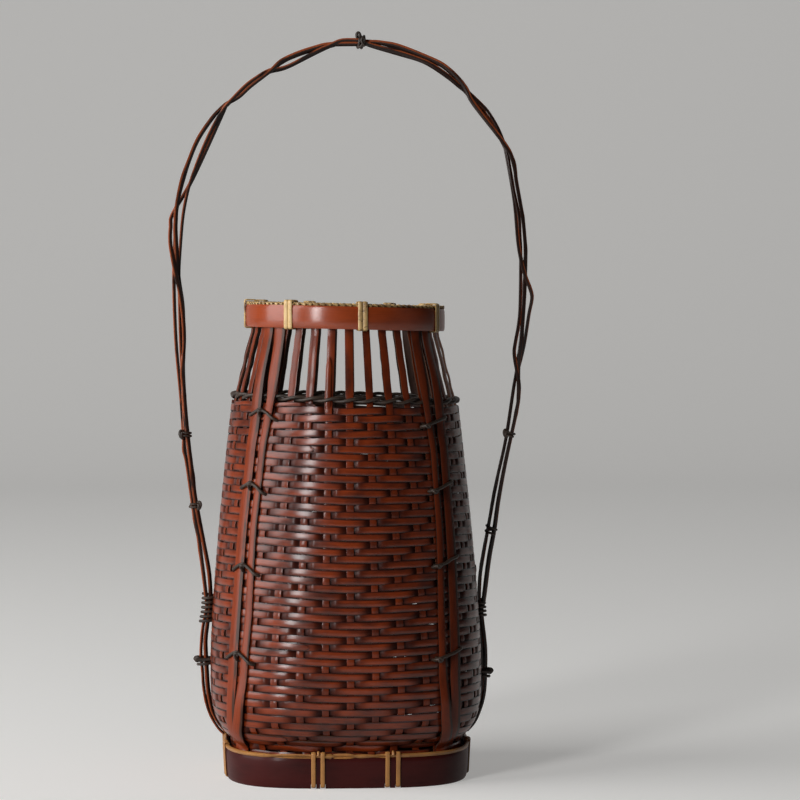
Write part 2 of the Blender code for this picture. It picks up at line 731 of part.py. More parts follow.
def knot(middle, along):
    """The tie round the bundle at the apex, two turns."""
    outward = Vector((-along.z, 0, along.x))
    radius = TIGHT_SPREAD + THICK_BRANCH_RADIUS + CURVE_GAP + KNOT_RADIUS
    turn_points = 12
    turns = 2
    path = []
    for index in range(turns * turn_points + 1):
        angle = 2 * pi * index / turn_points
        side = (index / (turns * turn_points) - 0.5) * turns * KNOT_PITCH
        path.append(middle + outward * radius * cos(angle) + Vector((0, radius * sin(angle), 0))
                    + along * side)
    tube("handle_knot", path, KNOT_RADIUS, DARK_RATTAN, bevel_resolution=1)
    print("handle knot, least gap to itself:", least_gap(path, KNOT_RADIUS, turn_points - 1))


def handle_lashings():
    """On each side one dark strand, to and fro over the branch ends, at the top and lower down."""
    low = CURVE_GAP + LASH_RADIUS
    high = 2 * BUNDLE_HALF_DEPTH + 2 * CURVE_GAP + CURVE_GAP + LASH_RADIUS
    side = BUNDLE_WIDE_SPREAD + THICK_BRANCH_RADIUS + CURVE_GAP + LASH_RADIUS
    arch = ((-1, low), (-1, high), (-0.5, high), (0, high), (0.5, high), (1, high), (1, low))
    for name, azimuth in (("right", pi / 2), ("left", -pi / 2)):
        path = []
        way = 1
        for top, turns in ((LASH_HEIGHT, UPPER_LASH_TURNS), (LOWER_LASH_HEIGHT, LOWER_LASH_TURNS)):
            for turn in range(turns):
                height = top - turn * LASH_PITCH
                half_turn = side / body_half_width(height)
                for across, rise in arch:
                    path.append(body_point(azimuth + way * half_turn * across, height, rise))
                way = -way
        tube(f"handle_lashing_{name}", path, LASH_RADIUS, DARK_RATTAN)


def water_tube():
    """The bamboo tube that holds the water, standing on the woven floor."""
    foot = FLOOR_LIFT + FLOOR_THICKNESS + GAP
    inner = TUBE_RADIUS - TUBE_WALL
    top = foot + TUBE_HEIGHT
    profile = [(0, foot + TUBE_FLOOR), (inner, foot + TUBE_FLOOR), (inner, top), (TUBE_RADIUS, top)]
    for share in sorted(tube_node_height_shares, reverse=True):
        node = foot + TUBE_HEIGHT * share
        profile += [(TUBE_RADIUS, node + TUBE_NODE_HEIGHT / 2), (TUBE_RADIUS + TUBE_NODE_SWELL, node),
                    (TUBE_RADIUS, node - TUBE_NODE_HEIGHT / 2)]
    profile += [(TUBE_RADIUS, foot), (0, foot)]
    turned("water_tube", profile, GREEN_BAMBOO, 36, closed=False)


def main():
    """Build every piece."""
    clear_scene()
    base_band()
    base_edging()
    base_wraps()
    woven_body()
    woven_floor()
    stakes()
    neck_ring()
    ribs()
    rib_ties()
    rim_bands()
    rim_wraps()
    handle()
    handle_lashings()
    water_tube()


main()
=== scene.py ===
"""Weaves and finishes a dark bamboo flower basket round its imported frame."""
import random
from bisect import bisect
from math import atan2, cos, pi, radians, sin

import bpy
import numpy as np
from bpy.props import FloatProperty, FloatVectorProperty, IntProperty, PointerProperty
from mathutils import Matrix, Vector


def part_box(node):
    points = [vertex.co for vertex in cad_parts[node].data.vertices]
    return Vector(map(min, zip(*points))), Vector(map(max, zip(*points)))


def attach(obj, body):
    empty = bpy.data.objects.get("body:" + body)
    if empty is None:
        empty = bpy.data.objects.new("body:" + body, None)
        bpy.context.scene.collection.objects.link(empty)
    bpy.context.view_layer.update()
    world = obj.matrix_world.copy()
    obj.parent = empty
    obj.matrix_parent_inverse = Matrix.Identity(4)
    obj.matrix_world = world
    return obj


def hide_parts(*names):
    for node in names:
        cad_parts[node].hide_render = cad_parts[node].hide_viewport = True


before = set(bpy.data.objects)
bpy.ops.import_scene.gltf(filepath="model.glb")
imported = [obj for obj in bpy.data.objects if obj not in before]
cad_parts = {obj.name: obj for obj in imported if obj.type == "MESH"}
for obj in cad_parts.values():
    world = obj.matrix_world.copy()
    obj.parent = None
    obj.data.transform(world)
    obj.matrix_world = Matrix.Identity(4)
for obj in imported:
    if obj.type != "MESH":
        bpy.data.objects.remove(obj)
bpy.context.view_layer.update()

bl_info = {
    "name": "Ikebana Basket",
    "version": (1, 0, 0),
    "blender": (4, 5, 0),
    "location": "3D View > Sidebar > Basket",
    "description": "Weaves and finishes a dark bamboo flower basket",
    "category": "Add Mesh",
}

MM = 0.001
UP = Vector((0, 0, 1))
# Corners of a mesh nearer than this are one corner
WELD = 0.005 * MM
# How strongly a coat of lacquer bends light
COAT_BENDING = 2.2
CORNERS = ("front_right", "back_right", "back_left", "front_left")
SIDES = ("front", "right", "back", "left")


def length(name, description, default):
    """A size in metres that a user can change."""
    return FloatProperty(name=name, description=description, default=default, unit="LENGTH",
                         precision=5, min=0)


def colour(name, description, default):
    """A colour that a user can change."""
    return FloatVectorProperty(name=name, description=description, default=default, subtype="COLOR",
                               size=3, min=0, max=1)


class BasketSizes(bpy.types.PropertyGroup):
    """Sizes of the basket, worked out with its frame"""
    band_half_width: length("Band half width", "Outer half width at the band's top", 79.6 * MM)
    band_flare: length("Band flare", "How much narrower the band is at its foot", 1.0 * MM)
    band_height: length("Band height", "Height of the base band", 19.5 * MM)
    band_thickness: length("Band thickness", "Thickness of the base band", 2.0 * MM)
    passage: length("Passage", "Room between the band and the weave", 2.7 * MM)
    tuck_height: length("Tuck height", "Where the weave leaves the band", 25.1 * MM)
    belly_half_width: length("Belly half width", "Outer half width at the belly", 88.0 * MM)
    belly_height: length("Belly height", "Height of the belly", 75.0 * MM)
    weave_top: length("Weave top", "Height of the top of the weave", 240.5 * MM)
    weave_top_half_width: length("Weave top half width", "Outer half width of the weave's top", 73.9 * MM)
    weft_start: length("First weft", "Height of the first weft's middle", 6.5 * MM)
    twill_top: length("Twill top", "Height of the row at which the twill turns back", 213.8 * MM)
    weft_width: length("Weft width", "Width of a weft", 4.66 * MM)
    weft_thickness: length("Weft thickness", "Thickness of a weft", 0.85 * MM)
    stake_width: length("Stake width", "Width of a stake", 4.6 * MM)
    stake_thickness: length("Stake thickness", "Thickness of a stake", 0.9 * MM)
    ring_height: length("Ring height", "Height of the neck ring", 245.0 * MM)
    ring_half_width: length("Ring half width", "Outer face of the stakes at the neck ring", 72.5 * MM)
    ring_radius: length("Ring strand", "Radius of the neck ring's strand", 1.15 * MM)
    rim_half_width: length("Rim half width", "Outer half width of the rim", 64.9 * MM)
    rim_bottom: length("Rim bottom", "Height of the rim's lower edge", 289.5 * MM)
    rim_height: length("Rim height", "Height of the rim bands", 14.5 * MM)
    outer_band: length("Outer band", "Thickness of the outer rim band", 2.0 * MM)
    inner_band: length("Inner band", "Thickness of the inner rim band", 1.5 * MM)
    rib_width: length("Rib width", "Width of a corner rib", 8.5 * MM)
    rib_thickness: length("Rib thickness", "Thickness of a corner rib", 1.2 * MM)
    tie_radius: length("Tie radius", "Radius of a rib tie", 1.0 * MM)
    top_lean: length("Top lean", "How much lower the rim's right side hangs than its middle", 1.6 * MM)
    back_lean: length("Back lean", "How much lower the rim's back hangs than its front", 2.2 * MM)
    stake_count: IntProperty(name="Stakes", description="Number of stakes", default=35, min=5)
    twill_turns: IntProperty(name="Twill turns", description="Turns of weft up to the twill top", default=46,
                             min=3)
    weft_turns: IntProperty(name="Weft turns", description="Turns of weft up the body", default=51, min=5)


class HandleSizes(bpy.types.PropertyGroup):
    """Sizes of the handle"""
    apex_height: length("Apex height", "Height of the handle's middle line at the apex", 474.3 * MM)
    half_width: length("Half width", "Half width of the handle's middle line", 117.4 * MM)
    branch_width: length("Branch width", "Width of the widest split branch", 3.2 * MM)
    branch_thickness: length("Branch thickness", "Thickness of a split branch", 1.35 * MM)
    bundle: length("Bundle", "Radius of the bundle under a knot", 2.6 * MM)


class BasketColours(bpy.types.PropertyGroup):
    """Colours of the basket's finishes"""
    lacquer: colour("Lacquer", "Lit red of the woven strips", (0.29, 0.042, 0.008))
    # lacquer_deep is also the colour of the painted shade where a weft dives under a stake
    lacquer_deep: colour("Deep lacquer", "Lacquer where it has pooled", (0.020, 0.006, 0.005))
    rib: colour("Rib", "Orange-red of the corner ribs", (0.27, 0.042, 0.010))
    # painted shadow along one edge of each rib
    rib_edge: colour("Rib edge", "Brown of a rib's darker edge", (0.052, 0.020, 0.011))
    rim: colour("Rim", "Orange-red of the rim band", (0.36, 0.055, 0.010))
    band: colour("Base band", "Maroon of the base band", (0.058, 0.006, 0.005))
    pith: colour("Pith", "Inner side of the strips", (0.060, 0.026, 0.014))
    cut: colour("Cut edge", "Cut edges of the strips", (0.20, 0.075, 0.030))
    gold: colour("Golden rattan", "Golden rattan of the base wraps", (0.50, 0.225, 0.060))
    pale_gold: colour("Pale rattan", "Pale rattan of the rim's wraps", (0.72, 0.48, 0.20))
    gold_deep: colour("Aged gold", "Rattan where dirt has settled", (0.13, 0.045, 0.014))
    rattan: colour("Dark rattan", "Dark rattan of the ties", (0.020, 0.012, 0.008))
    branch: colour("Branch", "Dark face of the handle's branches", (0.016, 0.008, 0.006))
    branch_skin: colour("Branch skin", "Red-brown skin of the branches", (0.34, 0.080, 0.026))
    tube: colour("Water tube", "Dried bamboo of the water tube", (0.40, 0.29, 0.13))
    tube_inside: colour("Tube inside", "Inner face of the water tube", (0.50, 0.38, 0.20))
    floor: colour("Floor", "Studio floor and backdrop", (0.78, 0.77, 0.75))


def power(name, description, default):
    """A lamp's power in watts, or a strength, that a user can change."""
    return FloatProperty(name=name, description=description, default=default, min=0)


class StageSettings(bpy.types.PropertyGroup):
    """Camera and lamps"""
    camera_distance: length("Camera distance", "Camera to the basket's axis", 2.1)
    camera_height: length("Camera height", "Height of the camera", 0.335)
    camera_azimuth: FloatProperty(name="Camera azimuth", description="Camera's turn towards the left",
                                  default=radians(3.1), subtype="ANGLE")
    picture_width: length("Picture width", "Width of the view at the basket's axis", 0.521)
    aim_right: length("Aim right", "The view's middle, right of the axis", 35.7 * MM)
    aim_height: length("Aim height", "Height of the view's middle", 242.0 * MM)
    key_power: power("Key", "Power of the window light in watts", 56)
    gloss_power: power("Gloss", "Power of the narrow window in watts", 24)
    fill_power: power("Fill", "Power of the fill light in watts", 0.3)
    world_light: power("World", "Strength of the surrounding light", 0.03)


class Form:
    """The basket's outer form, worked out from its sizes."""

    # How square the foot is, how sharply the form turns out above the tuck and in towards the neck
    FOOT_SQUARENESS = 1.3
    TUCK_POWER = 4.5
    NECK_POWER = 1.38

    def __init__(self, sizes):
        for key in sizes.bl_rna.properties.keys():
            if key not in ("rna_type", "name"):
                setattr(self, key, getattr(sizes, key))
        self.rim_top = self.rim_bottom + self.rim_height
        self.stake_pitch = 2 * pi / self.stake_count
        self.gap = 0.3 * MM
        self.profile = np.linspace(self.weft_start, self.twill_top, 300)
        widths = [self.half_width(height) for height in self.profile]
        self.climb = np.concatenate([[0], np.cumsum(np.hypot(np.diff(self.profile), np.diff(widths)))])
        self.dips = self.twill()

    def squareness(self, height):
        """Section exponent: squarish at the foot, round from the top of the weave up."""
        share = min(max(height / self.weave_top, 0), 1)
        return 2 + self.FOOT_SQUARENESS * (1 - share) ** 2

    def band_at(self, height):
        """Outer half width of the base band."""
        return self.band_half_width - self.band_flare * (1 - height / self.band_height)

    def half_width(self, height):
        """Outer half width of the weave."""
        inset = self.band_thickness + self.passage
        foot = self.band_at(min(height, self.tuck_height)) - inset
        if height <= self.tuck_height:
            return foot
        if height <= self.belly_height:
            share = (height - self.tuck_height) / (self.belly_height - self.tuck_height)
            return foot + (self.belly_half_width - foot) * (1 - (1 - share) ** self.TUCK_POWER)
        share = (height - self.belly_height) / (self.weave_top - self.belly_height)
        drawn_in = self.belly_half_width - self.weave_top_half_width
        return self.belly_half_width - drawn_in * share ** self.NECK_POWER

    def section(self, azimuth, half_width, exponent, height):
        """A point of a rounded square's outline, azimuths counted from the front towards +X."""
        across, along = sin(azimuth), -cos(azimuth)
        reach = half_width / (abs(across) ** exponent + abs(along) ** exponent) ** (1 / exponent)
        return Vector((reach * across, reach * along, height))

    def skin(self, azimuth, height):
        """A point on the weave's outer face."""
        return self.section(azimuth, self.half_width(height), self.squareness(height), height)

    def point(self, azimuth, height, outset=0.0):
        """A point on the weave moved along the outward direction, and that direction."""
        step = 0.5 * MM
        turn = 0.004
        ahead = self.skin(azimuth + turn, height) - self.skin(azimuth - turn, height)
        rise = self.skin(azimuth, height + step) - self.skin(azimuth, height - step)
        outward = ahead.cross(rise).normalized()
        return self.skin(azimuth, height) + outward * outset, outward

    def weft_height(self, turns, azimuth=0.0):
        """Height of the weft's middle after this many turns, a little higher at the basket's corners."""
        if turns > self.twill_turns:
            top = self.weave_top - self.weft_width / 2
            over = (turns - self.twill_turns) / (self.weft_turns - self.twill_turns)
            height = self.twill_top + (top - self.twill_top) * over
        else:
            height = float(np.interp(turns / self.twill_turns * self.climb[-1], self.climb, self.profile))
        share = min(max(turns / self.twill_turns, 0), 1)
        return height + 1.9 * MM * sin(pi * share) * (1 - cos(4 * azimuth)) / 2

    def twill(self):
        """Crossings at which the weft goes under a stake, as stakes passed since the start.

        Each row's crossings lie one stake to the right of the last row's, and near the top to the left.
        """
        dips = []
        reach = self.stake_count // 2
        for row in range(self.weft_turns + 2):
            for stake in range(-reach, self.stake_count - reach):
                shifted = stake - row - 1 if row <= self.twill_turns else stake + row - self.twill_turns - 1
                crossing = self.stake_count * row + stake
                if shifted % 3 == 0 and (not dips or crossing > dips[-1] + 1):
                    dips.append(crossing)
        return dips


def smooth_step(value):
    """Ease from 0 to 1."""
    value = min(max(value, 0.0), 1.0)
    return value * value * (3 - 2 * value)


def smooth_line(points, per_span):
    """Points on a smooth curve through the given ones."""
    count = len(points)
    fine = []
    for index in range(count - 1):
        before, start = points[max(index - 1, 0)], points[index]
        end, after = points[index + 1], points[min(index + 2, count - 1)]
        for step in range(per_span):
            t = step / per_span
            fine.append(0.5 * (2 * start + (end - before) * t
                               + (2 * before - 5 * start + 4 * end - after) * t ** 2
                               + (3 * start - before - 3 * end + after) * t ** 3))
    fine.append(points[-1].copy())
    return fine


def outward_at(azimuth):
    """Level direction outward, azimuths counted from the front towards +X."""
    return Vector((sin(azimuth), -cos(azimuth), 0))


def spread_evenly(points, count):
    """The same line with this many even steps."""
    line = np.array(points)
    steps = np.linalg.norm(np.diff(line, axis=0), axis=1)
    along = np.concatenate([[0], np.cumsum(steps)])
    wanted = np.linspace(0, along[-1], count + 1)
    return [Vector([np.interp(distance, along, line[:, axis]) for axis in range(3)]) for distance in wanted]


def only(thing):
    """Leave just this object selected and active."""
    bpy.ops.object.select_all(action="DESELECT")
    thing.select_set(True)
    bpy.context.view_layer.objects.active = thing


def weld(thing, outward=False):
    """Make one corner of those that meet, and turn the faces outward where that is asked for."""
    only(thing)
    bpy.ops.object.mode_set(mode="EDIT")
    bpy.ops.mesh.select_all(action="SELECT")
    bpy.ops.mesh.remove_doubles(threshold=WELD)
    if outward:
        bpy.ops.mesh.normals_make_consistent(inside=False)
    bpy.ops.object.mode_set(mode="OBJECT")


def unit_grid(name, columns, rows):
    """A new flat grid with this many corners each way, and the column and row of each corner."""
    bpy.ops.object.select_all(action="DESELECT")
    bpy.ops.mesh.primitive_grid_add(x_subdivisions=columns - 1, y_subdivisions=rows - 1, size=1)
    grid = bpy.context.object
    grid.name = grid.data.name = name
    co = corners_of(grid.data)
    column = np.rint((co[:, 0] + 0.5) * (columns - 1)).astype(int)
    row = np.rint((co[:, 1] + 0.5) * (rows - 1)).astype(int)
    return grid, column, row


def corners_of(mesh):
    """Places of a mesh's corners, one row each."""
    co = np.empty(len(mesh.vertices) * 3)
    mesh.vertices.foreach_get("co", co)
    return co.reshape(-1, 3)


# Places across a strip at which its face has an edge, as shares of its half width
FLAT_SHARES = (-1.0, -0.82, 0.0, 0.82, 1.0)
BAND_SHARES = (-1.0, -0.93, -0.75, -0.35, 0.0, 0.35, 0.75, 0.93, 1.0)


def lay_strip(name, line, outs, width, thickness, looks, crown=0.12, edge=0.35, closed=False, seed=0,
              shares=FLAT_SHARES, shade=None):
    """A bent strip. Its outer face runs along the line, square to the outs, and is crowned across.

    width and thickness are lengths; crown and edge are shares of the thickness, dropped at the sides.
    looks holds one material, or those of the face, the cut edges and the inner side.
    """
    line = np.array(line, float)
    outs = np.array(outs, float)
    if closed:
        line = np.vstack([line, line[:1]])
        outs = np.vstack([outs, outs[:1]])
        ahead = np.vstack([line[1:], line[1:2]])
        behind = np.vstack([line[-2:-1], line[:-1]])
    else:
        ahead = np.vstack([line[1:], line[-1:]])
        behind = np.vstack([line[:1], line[:-1]])
    tangent = ahead - behind
    tangent /= np.linalg.norm(tangent, axis=1)[:, None]
    side = np.cross(outs, tangent)
    side /= np.linalg.norm(side, axis=1)[:, None]
    outs = np.cross(tangent, side)
    widths = np.broadcast_to(np.array(width, float), (len(line),))
    across = np.array(shares)
    flat, rounded = 0.7, 0.3
    near_edge = np.clip((np.abs(across) - flat) / rounded, 0, 1)
    drop = thickness * (crown * across ** 2 + edge * near_edge ** 2)
    columns, rows = len(line), len(across)
    strip, column, row = unit_grid(name, columns, rows)
    mesh = strip.data
    co = (line[column] + side[column] * (widths[column] / 2 * across[row])[:, None]
          - outs[column] * drop[row][:, None])
    mesh.vertices.foreach_set("co", co.ravel())
    steps = np.linalg.norm(np.diff(line, axis=0), axis=1)
    metres_apart = 1.37
    along = np.concatenate([[0], np.cumsum(steps)]) + seed * metres_apart
    lateral = np.array(across) * float(np.mean(widths)) / 2
    corners = np.empty(len(mesh.loops), int)
    mesh.loops.foreach_get("vertex_index", corners)
    uv = np.stack([along[column[corners]], lateral[row[corners]]], axis=1)
    mesh.uv_layers.active.data.foreach_set("uv", uv.ravel())
    # The shade attribute holds painted shade: dark where a weft dives under a stake, bright on its crown
    if shade is not None:
        worn = mesh.attributes.new("shade", "FLOAT", "POINT")
        worn.data.foreach_set("value", np.array(shade, float)[column % len(shade)])
    mesh.update()
    only(strip)
    wall = strip.modifiers.new("wall", "SOLIDIFY")
    wall.thickness = thickness
    wall.offset = -1
    for look in looks:
        mesh.materials.append(look)
    if len(looks) == 3:
        wall.material_offset = 2
        wall.material_offset_rim = 1
    bpy.ops.object.modifier_apply(modifier=wall.name)
    if closed:
        weld(strip)
    bpy.ops.object.shade_smooth_by_angle(angle=radians(42))
    return strip


def lay_strand(name, line, radius, look, closed=False):
    """A round strand along a line, as a closed mesh."""
    data = bpy.data.curves.new(name, "CURVE")
    data.dimensions = "3D"
    data.bevel_depth = radius
    data.bevel_resolution = 2
    data.use_fill_caps = True
    spline = data.splines.new("POLY")
    spline.points.add(len(line) - 1)
    spline.points.foreach_set("co", [value for place in line for value in (*place, 1)])
    spline.use_cyclic_u = closed
    strand = bpy.data.objects.new(name, data)
    bpy.context.scene.collection.objects.link(strand)
    only(strand)
    bpy.ops.object.convert(target="MESH")
    strand = bpy.context.object
    strand.data.materials.clear()
    strand.data.materials.append(look)
    weld(strand)
    bpy.ops.object.shade_smooth_by_angle(angle=radians(50))
    return strand


def joined(name, pieces):
    """Join pieces into one object of this name."""
    bpy.ops.object.select_all(action="DESELECT")
    for piece in pieces:
        piece.select_set(True)
    bpy.context.view_layer.objects.active = pieces[0]
    bpy.ops.object.join()
    whole = bpy.context.object
    whole.name = whole.data.name = name
    return whole


def lean(thing, form):
    """Let the finished piece follow the basket's slightly lower right side and back at the top."""
    mesh = thing.data
    co = corners_of(mesh)
    share = np.clip((co[:, 2] - form.belly_height) / (form.weave_top - form.belly_height), 0, 1)
    share = share * share * (3 - 2 * share)
    drop = form.top_lean * co[:, 0] + form.back_lean * (form.rim_half_width + co[:, 1]) / 2
    co[:, 2] -= share * drop / form.rim_half_width
    mesh.vertices.foreach_set("co", co.ravel())
    mesh.update()


def place_piece(thing, slot, *nodes, form=None, body="basket"):
    """Hand the finished piece to the frame."""
    if form is not None:
        lean(thing, form)
    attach(thing, body)
    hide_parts(*nodes)


class Wire:
    """A shader value that Python's operators work on."""

    def __init__(self, finish, socket):
        self.finish = finish
        self.socket = socket

    def math(self, operation, *values):
        """One Math node on these values."""
        return self.finish.node("ShaderNodeMath", {"operation": operation}, *values)

    def __add__(self, other):
        return self.math("ADD", self, other)

    def __radd__(self, other):
        return self.math("ADD", other, self)

    def __sub__(self, other):
        return self.math("SUBTRACT", self, other)

    def __rsub__(self, other):
        return self.math("SUBTRACT", other, self)

    def __mul__(self, other):
        return self.math("MULTIPLY", self, other)

    def __rmul__(self, other):
        return self.math("MULTIPLY", other, self)

    def __pow__(self, other):
        return self.math("POWER", self, other)

    def size(self):
        """The value without its sign."""
        return self.math("ABSOLUTE", self)

    def limited(self):
        """The value kept between 0 and 1."""
        return self.finish.node("ShaderNodeClamp", {}, self)

    def between(self, low, high):
        """0 below low, 1 above high, eased between them."""
        return self.finish.node("ShaderNodeMapRange", {"interpolation_type": "SMOOTHSTEP"}, self, low, high)


class Finish:
    """One material and the nodes that make it."""

    def __init__(self, name, roughness, coat=0.0, coat_roughness=0.15):
        self.material = bpy.data.materials.new(name)
        self.material.use_nodes = True
        self.tree = self.material.node_tree
        self.shader = self.tree.nodes["Principled BSDF"]
        self.shader.inputs["Roughness"].default_value = roughness
        self.shader.inputs["Coat Weight"].default_value = coat
        self.shader.inputs["Coat IOR"].default_value = COAT_BENDING
        self.shader.inputs["Coat Roughness"].default_value = coat_roughness
        self.shader.inputs["Specular IOR Level"].default_value = 0.35

    def node(self, kind, settings, *values, output=0):
        """Add a node with these settings, then the values or links of its sockets in order."""
        made = self.tree.nodes.new(kind)
        for key, value in settings.items():
            setattr(made, key, value)
        for index, value in enumerate(values):
            if value is not None:
                self.join(value, made.inputs[index])
        return Wire(self, made.outputs[output])

    def join(self, value, socket):
        """Link or set one socket."""
        if isinstance(value, Wire):
            self.tree.links.new(value.socket, socket)
        elif isinstance(value, (tuple, list)) and len(value) == 3 and socket.type == "RGBA":
            socket.default_value = (*value, 1)
        else:
            socket.default_value = value

    def surface(self):
        """The piece's own map: metres along and across the strip."""
        return self.node("ShaderNodeUVMap", {})

    def across(self, surface):
        """Metres from the strip's middle line."""
        return self.node("ShaderNodeSeparateXYZ", {}, surface, output=1)

    def place(self):
        """Place on the object."""
        return self.node("ShaderNodeTexCoord", {}, output=3)

    def stretched(self, vector, scale):
        """The vector scaled on each axis."""
        return self.node("ShaderNodeVectorMath", {"operation": "MULTIPLY"}, vector, scale)

    def noise(self, vector, scale, detail=3.0, roughness=0.55):
        """Noise between 0 and 1."""
        return self.node("ShaderNodeTexNoise", {"noise_dimensions": "3D"}, vector, None, scale, detail,
                         roughness)

    def marked(self, name):
        """A value painted on the mesh."""
        return self.node("ShaderNodeAttribute", {"attribute_name": name}, output=2)

    def seen(self):
        """1 where the surface is seen, also in a reflection or through glass, 0 where it gives light."""
        rays = self.tree.nodes.new("ShaderNodeLightPath")
        camera, glossy, through = (Wire(self, rays.outputs[name]) for name in
                                   ("Is Camera Ray", "Is Glossy Ray", "Is Transmission Ray"))
        return (camera + glossy + through).limited()

    def mix(self, share, first, second):
        """Blend two colours."""
        made = self.tree.nodes.new("ShaderNodeMix")
        made.data_type = "RGBA"
        self.join(share, made.inputs[0])
        self.join(first, made.inputs[6])
        self.join(second, made.inputs[7])
        return Wire(self, made.outputs[2])

    def paint(self, shade):
        """Set the colour."""
        self.join(shade, self.shader.inputs["Base Color"])

    def polish(self, roughness):
        """Set the roughness."""
        self.join(roughness, self.shader.inputs["Roughness"])

    def relief(self, height, strength, distance):
        """Bump from a height."""
        bump = self.node("ShaderNodeBump", {}, strength, distance)
        made = bump.socket.node
        self.join(height, made.inputs["Height"])
        self.tree.links.new(made.outputs["Normal"], self.shader.inputs["Normal"])


def lacquered(name, light, deep, roughness, coat, patch_low=0.30, patch_high=0.62, worn=False, flecks=0.0,
              side=None):
    """Lacquered split bamboo: red where it is thin, almost black where it has pooled.

    side is the colour along one edge of the strip, with the places across it where that begins and fills: on
    the ribs a painted shadow, on the branches their skin.
    """
    finish = Finish(name, roughness, coat, 0.19)
    finish.shader.inputs["Specular IOR Level"].default_value = 0.10
    surface = finish.surface()
    streaks = finish.noise(finish.stretched(surface, (22.0, 2600.0, 1.0)), 1.0, 2.0)
    fine = finish.noise(finish.stretched(surface, (90.0, 6200.0, 1.0)), 1.0, 2.0)
    patches = finish.noise(finish.stretched(surface, (38.0, 110.0, 1.0)), 1.0, 3.0)
    broad = finish.noise(finish.place(), 21.0, 2.0)
    glow = (patches * 0.65 + broad * 0.35).between(patch_low, patch_high)
    glow = 0.12 + 0.88 * glow
    # Painted shade where the weft dives under a stake and a painted brighter crown, from the shade
    # attribute; the coat thins with it
    if worn:
        # Darker along the weft's edges: lacquer pooled there, and painted shade between the rows
        pooled = finish.across(surface).size().between(1.3 * MM, 2.15 * MM)
        bright = finish.marked("shade")
        glow = glow * bright * (1 - 0.85 * pooled)
        finish.join(coat * bright * bright, finish.shader.inputs["Coat Weight"])
    glow = (glow * (0.50 + 0.80 * streaks)).limited()
    shade = finish.mix(glow, deep, light)
    if flecks:
        fleck = finish.noise(finish.stretched(surface, (420.0, 1900.0, 1.0)), 1.0, 1.0).between(0.70, 0.76)
        shade = finish.mix(fleck * flecks, shade, scaled(deep, 0.35))
    # The side colour: a painted shadow along one edge of a rib, the skin along a branch's edge
    if side:
        edge, begins, fills = side
        skin_and_shadow = finish.across(surface).between(begins, fills) * patches.between(0.36, 0.50)
        shade = finish.mix(skin_and_shadow, shade, edge)
    finish.paint(shade)
    finish.polish((roughness + 0.22 * fine - 0.10 * patches).limited())
    finish.relief(streaks * 0.6 + fine * 0.4, 0.32, 0.16 * MM)
    return finish.material


def plain_bamboo(name, shade, deep, roughness=0.62):
    """Cut edges and inner faces: dull, fibrous."""
    finish = Finish(name, roughness)
    surface = finish.surface()
    fibres = finish.noise(finish.stretched(surface, (60.0, 3800.0, 1.0)), 1.0, 3.0)
    broad = finish.noise(finish.place(), 60.0, 2.0)
    finish.paint(finish.mix((fibres * 0.6 + broad * 0.55 - 0.1).limited(), deep, shade))
    finish.relief(fibres, 0.35, 0.2 * MM)
    return finish.material


def rattan(name, shade, deep, dirt=0.5, roughness=0.45, coat=0.15):
    """Rattan strands: fibrous, with dirt in patches."""
    finish = Finish(name, roughness, coat, 0.3)
    place = finish.place()
    broad = finish.noise(place, 95.0, 3.0)
    specks = finish.noise(place, 620.0, 3.0)
    fine = finish.noise(place, 2300.0, 2.0)
    dirty = (broad.between(0.42, 0.70) * dirt + specks.between(0.55, 0.72) * dirt * 0.8).limited()
    finish.paint(finish.mix(dirty, shade, deep))
    finish.polish((roughness + 0.25 * specks - 0.1).limited())
    finish.relief(specks * 0.6 + fine * 0.4, 0.30, 0.2 * MM)
    return finish.material


def scaled(shade, share=1):
    """A colour made darker or lighter by this share."""
    return tuple(share * value for value in shade)


def finishes():
    """All the basket's materials, by name, made once."""
    if not FINISHES:
        paints = bpy.context.scene.basket_colours
        deep = scaled(paints.lacquer_deep)
        cut = plain_bamboo("cut_edge", scaled(paints.cut), deep)
        pith = plain_bamboo("pith", scaled(paints.pith), deep)
        gold, pale, gold_deep = scaled(paints.gold), scaled(paints.pale_gold), scaled(paints.gold_deep)
        skin, branch = scaled(paints.branch_skin), scaled(paints.branch)
        FINISHES.update({
            "cut": cut,
            "pith": pith,
            "weft": lacquered("weft_lacquer", scaled(paints.lacquer), deep, 0.26, 0.20, worn=True,
                              flecks=0.5),
            "stake": lacquered("stake_lacquer", scaled(paints.lacquer, 0.8), deep, 0.36, 0.12, flecks=0.4),
            "rib": lacquered("rib_lacquer", scaled(paints.rib), deep, 0.33, 0.08, patch_low=0.20,
                             patch_high=0.56, flecks=0.6,
                             side=(scaled(paints.rib_edge), -1.1 * MM, -2.7 * MM)),
            "rim": lacquered("rim_lacquer", scaled(paints.rim), scaled(paints.rim, 0.35), 0.34, 0.28,
                             patch_low=0.15, patch_high=0.55),
            "band": lacquered("band_lacquer", scaled(paints.band), scaled(paints.band, 0.4), 0.42, 0.04,
                              patch_low=0.2, patch_high=0.6),
            "gold": rattan("gold_rattan", gold, gold_deep, 0.35),
            "pale": rattan("pale_rattan", pale, gold_deep, 0.30),
            "mottled": rattan("mottled_rattan", pale, gold_deep, 0.95),
            "rattan": rattan("dark_rattan", scaled(paints.rattan, 2.4), scaled(paints.rattan), 0.9, 0.50,
                             0.05),
            "branch": lacquered("branch_face", scaled(branch, 2.0), branch, 0.38, 0.09, flecks=0.3,
                                side=(skin, 0.3 * MM, 0.8 * MM)),
            "branch_skin": lacquered("branch_skin", skin, branch, 0.34, 0.4, patch_low=0.25, patch_high=0.6),
            "branch_back": plain_bamboo("branch_back", scaled(branch, 3.0), branch, 0.55),
        })
    return FINISHES


FINISHES = {}


def bamboo(face):
    """Materials of a split strip: its face, its cut edges and its inner side."""
    looks = finishes()
    return looks[face], looks["cut"], looks["pith"]


